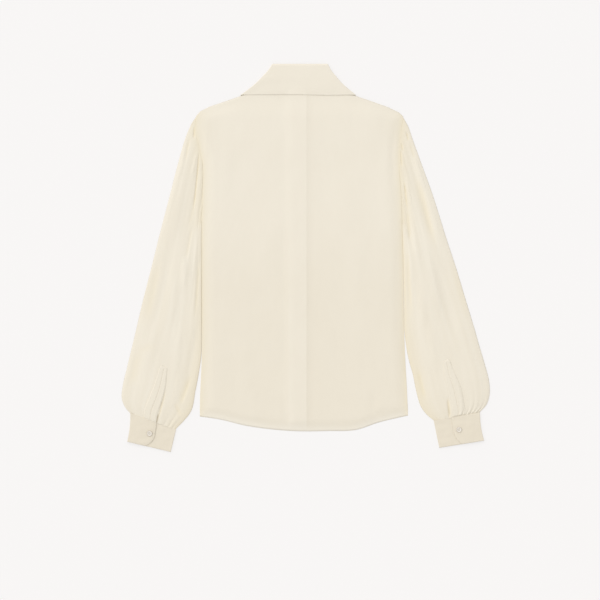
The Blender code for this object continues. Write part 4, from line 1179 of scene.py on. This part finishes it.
def stitches(name, pairs, finish, width=STITCH_WIDTH):
    """All the stitches of one piece as one mesh, from the needle holes at their two ends."""
    at, faces = [], []
    for start, end in pairs:
        faces += stitch_faces(len(at))
        at += stitch_points(np.asarray(start, float), np.asarray(end, float), width)
    return mesh_of(name, at, faces, finish)


def stitch_line(path):
    """Pairs of needle holes along a path of points, as a sewing machine would space them."""
    steps = lengths(path)
    count = max(int(steps[-1] / (STITCH_LENGTH + STITCH_GAP)), 1)
    starts = np.arange(count) * steps[-1] / count
    ends = starts + STITCH_LENGTH
    holes = []
    for at in (starts, ends):
        holes.append(np.stack([np.interp(at, steps, path[:, axis]) for axis in range(3)], axis=1))
    return list(zip(*holes))


def face_lift(thickness, face):
    """How far a thread lies above a cloth's middle, on its upper (1) or sunk in its lower (-1) face."""
    return face * thickness / 2 + (UNDER_SEW_LIFT if face < 0 else 0)


def sew(grid, thickness, rows, columns, face=1):
    """Stitches over a cloth grid at shares of its rows and columns, on its upper (1) or lower (-1) face."""
    path = inside_grid(grid, *np.broadcast_arrays(rows, columns))
    return stitch_line(path + (0, 0, face_lift(thickness, face)))


def buttonhole_pairs(centre, direction, height):
    """The needle holes of a buttonhole: short stitches down both sides of the slit and a bar at each end."""
    direction = np.array(direction, float) / np.linalg.norm(direction)
    side = np.array((-direction[1], direction[0]))
    pairs = []
    for at in np.arange(-BUTTONHOLE_LENGTH / 2, BUTTONHOLE_LENGTH / 2, BUTTONHOLE_PITCH):
        for way in (-1, 1):
            near = centre + direction * at + side * way * BUTTONHOLE_SLIT
            far = centre + direction * (at + BUTTONHOLE_PITCH / 2) + side * way * BUTTONHOLE_HALF_WIDTH
            pairs.append(((*near, height(*near)), (*far, height(*far))))
    for end in (-1, 1):
        for step in range(BAR_STITCHES):
            middle = centre + direction * end * (BUTTONHOLE_LENGTH / 2 + step * BUTTONHOLE_PITCH / 2)
            ends = (middle - side * BUTTONHOLE_HALF_WIDTH, middle + side * BUTTONHOLE_HALF_WIDTH)
            pairs.append(tuple((*at, height(*at)) for at in ends))
    return pairs


def button_z(radius, x, y):
    """The height of a button's face: a dished middle with four holes inside a rounded rim."""
    from_hole = np.hypot(np.abs(x) - HOLE_OFFSET, np.abs(y) - HOLE_OFFSET)
    sunk = smooth((HOLE_RADIUS + HOLE_BEVEL - from_hole) / HOLE_BEVEL)
    return np.interp(radius, BUTTON_RADII, BUTTON_HEIGHTS) - HOLE_DEPTH * sunk


def button(solid, name, centre, face_up, turn, finish):
    """A shell button in place of a solid, face up or face down, its lowest point at the centre."""
    radii = np.concatenate([np.linspace(*rings) for rings in BUTTON_RINGS])
    low = np.array(BUTTON_LOW)
    ring, angle = np.meshgrid(np.concatenate([radii, low[:, 0]]) * BUTTON_RADIUS,
                              np.linspace(0, 2 * np.pi, BUTTON_SIDES, endpoint=False), indexing="ij")
    z = button_z(ring, ring * np.cos(angle), ring * np.sin(angle))
    z[len(radii):] = low[:, 1:] * BUTTON_HEIGHT
    grid = np.stack([ring * np.cos(angle + turn), ring * np.sin(angle + turn), z], axis=-1)
    top, rows = grid[: len(radii)], len(grid)
    faces = grid_faces(rows, BUTTON_SIDES, True)
    faces.append(tuple(range(BUTTON_SIDES)))
    faces.append(tuple(range(rows * BUTTON_SIDES - 1, (rows - 1) * BUTTON_SIDES - 1, -1)))
    # Painted shade round the rim and in the holes.
    tones = look_up(BUTTON_SHADES, np.linalg.norm(grid[..., :2], axis=-1) / BUTTON_RADIUS)
    sunk = np.interp(np.linalg.norm(top[..., :2], axis=-1), BUTTON_RADII, BUTTON_HEIGHTS) - top[..., 2]
    tones[: len(top)] = np.maximum(tones[: len(top)], HOLE_SHADE * smooth(sunk / HOLE_DEPTH))
    at = grid.reshape(-1, 3)
    if not face_up:
        at = at * (1, -1, -1) + (0, 0, BUTTON_HEIGHT)
    made = mesh_of(name, at + centre, faces, finish, solid)
    add_attribute(made.data, "rim_and_hole_shade", "FLOAT", tones)
    return made


def button_thread(x, y, z, turn):
    """The needle holes of the two threads that hold a button, as pairs over its face."""
    cos, sin = np.cos(turn), np.sin(turn)
    pairs = []
    for way in (-1, 1):
        for strand in (-1, 0, 1):
            a = way * HOLE_OFFSET + strand * THREAD_SPREAD
            ends = ((a, -HOLE_OFFSET), (a, HOLE_OFFSET))
            pairs.append([(x + a * cos - b * sin, y + a * sin + b * cos, z) for a, b in ends])
    return pairs


# Finishes, all procedural.


def put(socket, value):
    """Links a socket to another node's output, or sets it to a plain value."""
    if isinstance(value, bpy.types.NodeSocket):
        socket.id_data.links.new(value, socket)
    else:
        socket.default_value = value


def set_inputs(made, **values):
    for name, value in values.items():
        put(made.inputs[name.replace("_", " ")], value)
    return made


def node(tree, kind, **settings):
    made = tree.nodes.new(f"ShaderNode{kind}")
    for name, value in settings.items():
        setattr(made, name, value)
    return made


def maths(tree, operation, *values, **extra):
    """A Math node fed by sockets or plain numbers; it gives back its output."""
    made = node(tree, "Math", operation=operation, **extra)
    for socket, value in zip(made.inputs, values):
        put(socket, value)
    return made.outputs[0]


def mix(tree, factor, first, second):
    """A mix of two colours, each a socket or a plain colour."""
    made = set_inputs(node(tree, "Mix", data_type="RGBA"), Factor=factor)
    put(made.inputs[6], first)
    put(made.inputs[7], second)
    return made.outputs[2]


def attribute(tree, name, output="Fac"):
    return node(tree, "Attribute", attribute_name=name).outputs[output]


def bump(tree, height, strength, distance, **extra):
    """Fine relief from a height, its depth in millimetres."""
    made = set_inputs(node(tree, "Bump"), Height=height, Strength=strength, Distance=distance * MM, **extra)
    return made.outputs[0]


def threads(tree, grain, direction, pitch, waver):
    """Rows of threads at a pitch in millimetres, their edges wavering as crepe yarn does."""
    wave = node(tree, "TexWave", wave_type="BANDS", bands_direction=direction, wave_profile="SIN")
    scale = WAVE_PERIOD / pitch
    set_inputs(wave, Vector=grain, Scale=scale, Distortion=waver, Detail=2.0, Detail_Scale=scale)
    return wave.outputs["Fac"]


def cloud(tree, grain, size, stretch=(1, 1, 1), detail=3.0):
    """Soft uneven patches of about a size in millimetres."""
    scale = set_inputs(node(tree, "Mapping"), Vector=grain, Scale=tuple(part / size for part in stretch))
    noise = node(tree, "TexNoise")
    set_inputs(noise, Vector=scale.outputs[0], Scale=1.0, Detail=detail, Roughness=0.5)
    return noise.outputs["Fac"]


def new_finish(name, **inputs):
    """A material, its node tree and its shader, which is given its plain inputs."""
    made = bpy.data.materials.new(name)
    made.use_nodes = True
    return made, made.node_tree, set_inputs(made.node_tree.nodes["Principled BSDF"], **inputs)


def silk_finish(name, colour, deep_colour):
    """Crepe silk: crossed wavering threads, slight patches of tone and a soft sheen."""
    made, tree, shader = new_finish(name, Roughness=SILK_ROUGHNESS, Sheen_Weight=SILK_SHEEN,
                                    Sheen_Roughness=SHEEN_ROUGHNESS, Sheen_Tint=SHEEN_TINT,
                                    Specular_IOR_Level=SILK_SPECULAR)
    grain = attribute(tree, "grain", "Vector")
    weave = maths(tree, "MAXIMUM", *(threads(tree, grain, *yarn) for yarn in YARNS))
    patches = cloud(tree, grain, PATCH_SIZE)
    slubs = cloud(tree, grain, SLUB_SIZE, SLUB_STRETCH, detail=1.0)
    tone = maths(tree, "MULTIPLY_ADD", patches, PATCH_TONE, MEAN_TONE - PATCH_TONE / 2)
    for difference, share in (((slubs, MEAN_SLUB), SLUB_TONE), ((MEAN_WEAVE, weave), WEAVE_TONE)):
        part = maths(tree, "MULTIPLY", maths(tree, "SUBTRACT", *difference), share)
        tone = maths(tree, "ADD", tone, part)
    tone = maths(tree, "ADD", tone, attribute(tree, "shade"), use_clamp=True)
    toned = mix(tree, tone, colour, deep_colour)
    # Painted warm shade.
    toned = mix(tree, attribute(tree, "warm_shade"), toned, SILK_WARM_SHADE)
    # Painted shade in hollows.
    toned = mix(tree, attribute(tree, "hollow_shade"), toned, SILK_HOLLOW_SHADE)
    pebbles = maths(tree, "MULTIPLY", cloud(tree, grain, PEBBLE_SIZE), PEBBLE_SHARE)
    low = bump(tree, cloud(tree, grain, CRUMPLE_SIZE, CRUMPLE_STRETCH), CRUMPLE_STRENGTH, CRUMPLE_DEPTH)
    fine = bump(tree, maths(tree, "ADD", weave, pebbles), WEAVE_STRENGTH, WEAVE_DEPTH, Normal=low)
    set_inputs(shader, Base_Color=toned, Normal=fine)
    return made


def thread_finish():
    """Twisted silk thread: a fine slanting ply and a little more gloss than the cloth."""
    made, tree, shader = new_finish("silk_thread", Roughness=0.45, Sheen_Weight=0.2, Specular_IOR_Level=0.4)
    ply = set_inputs(node(tree, "TexWave", bands_direction="DIAGONAL"), Scale=PLY_SCALE, Distortion=0.6,
                     Vector=node(tree, "TexCoord").outputs["Object"]).outputs["Fac"]
    twist = mix(tree, ply, THREAD_DARK, THREAD_LIGHT)
    set_inputs(shader, Base_Color=twist, Normal=bump(tree, ply, strength=0.4, distance=0.05))
    return made


def shell_finish():
    """Pale shell: drifting cloudy layers with a faint pink and green cast under a polished face."""
    made, tree, shader = new_finish("shell", Roughness=0.22, Specular_IOR_Level=0.55, Coat_Weight=0.35,
                                    Coat_Roughness=0.12)
    layers = set_inputs(node(tree, "TexNoise"), Scale=SHELL_SCALE, Detail=4.0, Distortion=2.2,
                        Vector=node(tree, "TexCoord").outputs["Object"]).outputs["Fac"]
    ramp = set_inputs(node(tree, "ValToRGB"), Fac=layers)
    for element, (position, colour) in zip(ramp.color_ramp.elements, SHELL_LAYERS):
        element.position, element.color = position, colour
    ramp.color_ramp.elements.new(SHELL_CAST[0]).color = SHELL_CAST[1]
    # Painted shade round the rim and in the holes.
    rim_and_hole_shade = maths(tree, "MULTIPLY", attribute(tree, "rim_and_hole_shade"), layers, use_clamp=True)
    set_inputs(shader, Base_Color=mix(tree, rim_and_hole_shade, ramp.outputs["Color"], SHELL_SHADE),
               Normal=bump(tree, layers, strength=0.15, distance=0.1))
    return made


# The stage.


def stage():
    scene = bpy.context.scene
    scene.view_settings.view_transform = "Standard"
    floor_mesh = bpy.data.meshes.new("floor")
    half = FLOOR_SIZE / 2
    corners = [(-half, -half, 0), (half, -half, 0), (half, half, 0), (-half, half, 0)]
    floor_mesh.from_pydata(corners, [], [(0, 1, 2, 3)])
    floor = add_object("floor", floor_mesh)
    paper = new_finish("paper", Base_Color=FLOOR_COLOUR, Roughness=0.95, Specular_IOR_Level=0.1,
                       Emission_Color=FLOOR_GLOW, Emission_Strength=1.0)[0]
    floor_mesh.materials.append(paper)

    world = bpy.data.worlds.new("studio")
    scene.world = world
    world.use_nodes = True
    set_inputs(world.node_tree.nodes["Background"], Color=(1.0, 1.0, 1.0, 1.0), Strength=AIR_LIGHT)
    key = bpy.data.lights.new("key", "SUN")
    key.energy, key.angle = KEY_LIGHT, KEY_ANGLE
    add_object("key", key).rotation_euler = Vector(KEY_FROM).to_track_quat("Z", "Y").to_euler()

    camera = bpy.data.cameras.new("camera")
    camera.lens, camera.sensor_width = CAMERA_LENS, CAMERA_SENSOR
    scene.camera = add_object("camera", camera)
    height = FRAME_WIDTH / 2 / (CAMERA_SENSOR / 2 / CAMERA_LENS)
    scene.camera.location = (CAMERA_X, CAMERA_Y, height)


# Making the pieces.


def hem_stitches(above_hem, height, face):
    """A machine line at a distance above the hem, on a panel's upper (1) or lower (-1) face."""
    x = np.arange(LEFT_SIDE[-1].x + SEW_INSET, RIGHT_SIDE[-1].x - SEW_INSET, SEW_STEP)
    y = crossing(HEM, x, 0) + above_hem
    return stitch_line(np.stack([x, y, height(x, y) + face_lift(SILK_THICKNESS, face)], axis=1))


def band_stitches(x):
    """A machine line down the right front's band, on the face that is its outer side."""
    lowest = min(at.y for at in HEM) + FRONT_HEM_RISE
    y = np.arange(FRONT_TOP_Y - SEW_INSET, lowest + SEW_INSET, -SEW_STEP)
    x = np.full_like(y, x)
    return stitch_line(np.stack([x, y, right_front_z(x, y) + face_lift(SILK_THICKNESS, -1)], axis=1))


def make_fronts():
    left = cloth("front_left", front_grid(LEFT_SHOULDER[:-1], LEFT_FRONT_NECK, LEFT_SIDE, BAND_RIGHT_X,
                                          left_front_z), silk)
    right = cloth("front_right", front_grid(RIGHT_SHOULDER[:-1], RIGHT_FRONT_NECK, RIGHT_SIDE, BAND_LEFT_X,
                                            right_front_z), silk)
    pieces, tied, holes = [], [], []
    face = BUTTON_REST_Z + BUTTON_HEIGHT - BUTTON_HEIGHTS[0]
    for number, y in enumerate(FRONT_BUTTON_YS, start=1):
        turn = BUTTON_TURN * number
        pieces.append(button(f"button_front_{number}", f"front_button_{number}", (BUTTON_X, y, BUTTON_REST_Z),
                             False, turn, shell))
        tied += button_thread(BUTTON_X, y, face - THREAD_LIFT, turn)
        under = right_front_z(np.array(BUTTON_X), np.array(y)) - SILK_THICKNESS / 2
        holes += buttonhole_pairs((BUTTON_X, y), (0, 1), lambda x, y, z=under: z)
    lines = band_stitches(BAND_LEFT_X + BAND_SEW_INSET) + band_stitches(BAND_RIGHT_X - BAND_SEW_INSET)
    lines += hem_stitches(FRONT_HEM_RISE + HEM_WIDTH, right_front_z, -1)
    pieces.append(stitches("front_sewing", lines, thread))
    pieces.append(stitches("front_buttonholes", holes, thread, HOLE_STITCH_WIDTH))
    pieces.append(stitches("front_button_threads", tied, thread))


def make_back():
    grid = turned_down(back_grid())
    back = cloth("back", grid, silk, tones=back_tones(grid[..., 0], grid[..., 1]))
    stitches("back_hem_sewing", hem_stitches(HEM_WIDTH, back_z, 1), thread)


def make_sleeve(side, sleeve, cuff):
    tube, top, tones = sleeve_grids(sleeve)
    sleeve_piece = cloth(f"sleeve_{side}", tube, silk, tube=True, tones=tones)
    strip, tones = placket_grid(sleeve, top, cuff.seam_tone)
    placket = cloth(f"sleeve_placket_{side}", strip, silk, tones=tones, name=f"placket_{side}")
    rows = np.linspace(*PLACKET_SEW_ROWS, SEW_SAMPLES)
    lines = []
    for column in PLACKET_SEW_COLUMNS:
        lines += sew(strip, SILK_THICKNESS, rows, column)
    sewing = stitches(f"placket_{side}_sewing", lines, thread)
    band, pieces = make_cuff(side, cuff)


def make_cuff(side, cuff):
    """The cuff, then what goes with it: its button and threads, its buttonhole and its sewing."""
    grid = cuff_grid(cuff)
    # Painted shade along the top of the cuff's lap, at its seam with the sleeve.
    seam_tone = np.zeros(grid.shape[:2])
    seam_tone[:CUFF_SEAM_ROWS, :CUFF_LAP_COLUMNS] = cuff.seam_tone
    band = cloth(f"cuff_{side}", grid, cuff_silk, DOUBLE_THICKNESS, tones={"hollow_shade": seam_tone})
    across = np.array(cuff.top_in) - np.array(cuff.top_out)
    turn = np.arctan2(across[1], across[0])
    lap = grid[:, :CUFF_LAP_COLUMNS].reshape(-1, 3)

    def from_point(x, y):
        return np.hypot(lap[:, 0] - x, lap[:, 1] - y)

    def lap_face(x, y):
        """The height of the lap's upper face at a plan point."""
        return lap[np.argmin(from_point(x, y)), 2] + DOUBLE_THICKNESS / 2

    rest = lap[from_point(*cuff.button) < BUTTON_RADIUS, 2].max() + DOUBLE_THICKNESS / 2
    made = button(f"button_cuff_{side}", f"cuff_button_{side}", (*cuff.button, rest), True, turn, shell)
    tied = stitches(f"cuff_button_{side}_threads",
                    button_thread(*cuff.button, rest + BUTTON_HEIGHTS[0] + THREAD_LIFT, turn), thread)
    centre = np.array(cuff.button) - across / np.linalg.norm(across) * BUTTONHOLE_SHIFT
    hole = stitches(f"cuff_{side}_buttonhole", buttonhole_pairs(centre, across, lap_face), thread,
                    HOLE_STITCH_WIDTH)
    return band, [made, tied, hole, stitches(f"cuff_{side}_sewing", cuff_stitches(grid), thread)]


def cuff_stitches(grid):
    """A machine line round the cuff's upper lap, and along the edges of the end that it laps over."""
    columns = grid.shape[1] - 1
    edge, far = CUFF_SEW_SHARE, (CUFF_LAP_COLUMNS - 1) / columns
    steps = np.linspace(0, 1, SEW_SAMPLES)
    rows = np.concatenate([np.full(SEW_SAMPLES, CUFF_SEW_ROWS[0]), np.interp(steps, (0, 1), CUFF_SEW_ROWS),
                           np.full(SEW_SAMPLES, CUFF_SEW_ROWS[1])])
    along = far * (edge + (1 - 2 * edge) * steps)
    across = np.concatenate([along[::-1], np.full(SEW_SAMPLES, along[0]), along])
    lines = sew(grid, DOUBLE_THICKNESS, rows, across)
    across = 1 - np.linspace(*CUFF_INNER_SEW, SEW_SAMPLES) * (CUFF_INNER_COLUMNS - 1) / columns
    for row in CUFF_SEW_ROWS:
        lines += sew(grid, DOUBLE_THICKNESS, row, across)
    return lines


def collar_stitches(grid):
    """A machine line inside the collar's outer edge: on top behind the neck, underneath on the two fronts."""
    columns = grid.shape[1] - 1
    first = (COLLAR_FRONT_COLUMNS + TURN_STEPS + 1) / columns
    across = np.linspace(first, 1 - first, SEW_SAMPLES)
    lines = sew(grid, DOUBLE_THICKNESS, COLLAR_SEW_ROW, across)
    for end, way in ((0.0, 1), (1.0, -1)):
        across = end + way * np.linspace(COLLAR_SEW_END, first - 2 * TURN_STEPS / columns, SEW_SAMPLES)
        lines += sew(grid, DOUBLE_THICKNESS, COLLAR_SEW_ROW, across, -1)
    return lines


def make_collar():
    grid = collar_grid()
    collar = cloth("collar", grid, silk, DOUBLE_THICKNESS)
    sewing = stitches("collar_sewing", collar_stitches(grid), thread)
    stand = cloth("collar_stand", stand_grid(), silk, DOUBLE_THICKNESS)
    made = button("button_stand", "stand_button", (BUTTON_X, STAND_BUTTON_Y, BUTTON_REST_Z), False,
                  BUTTON_TURN, shell)


silk = silk_finish("silk", SILK, SILK_DEEP)
cuff_silk = silk_finish("silk_double", CUFF_SILK, CUFF_SILK_DEEP)
thread = thread_finish()
shell = shell_finish()
stage()
make_fronts()
make_back()
make_sleeve("left", LEFT_SLEEVE, LEFT_CUFF)
make_sleeve("right", RIGHT_SLEEVE, RIGHT_CUFF)
make_collar()
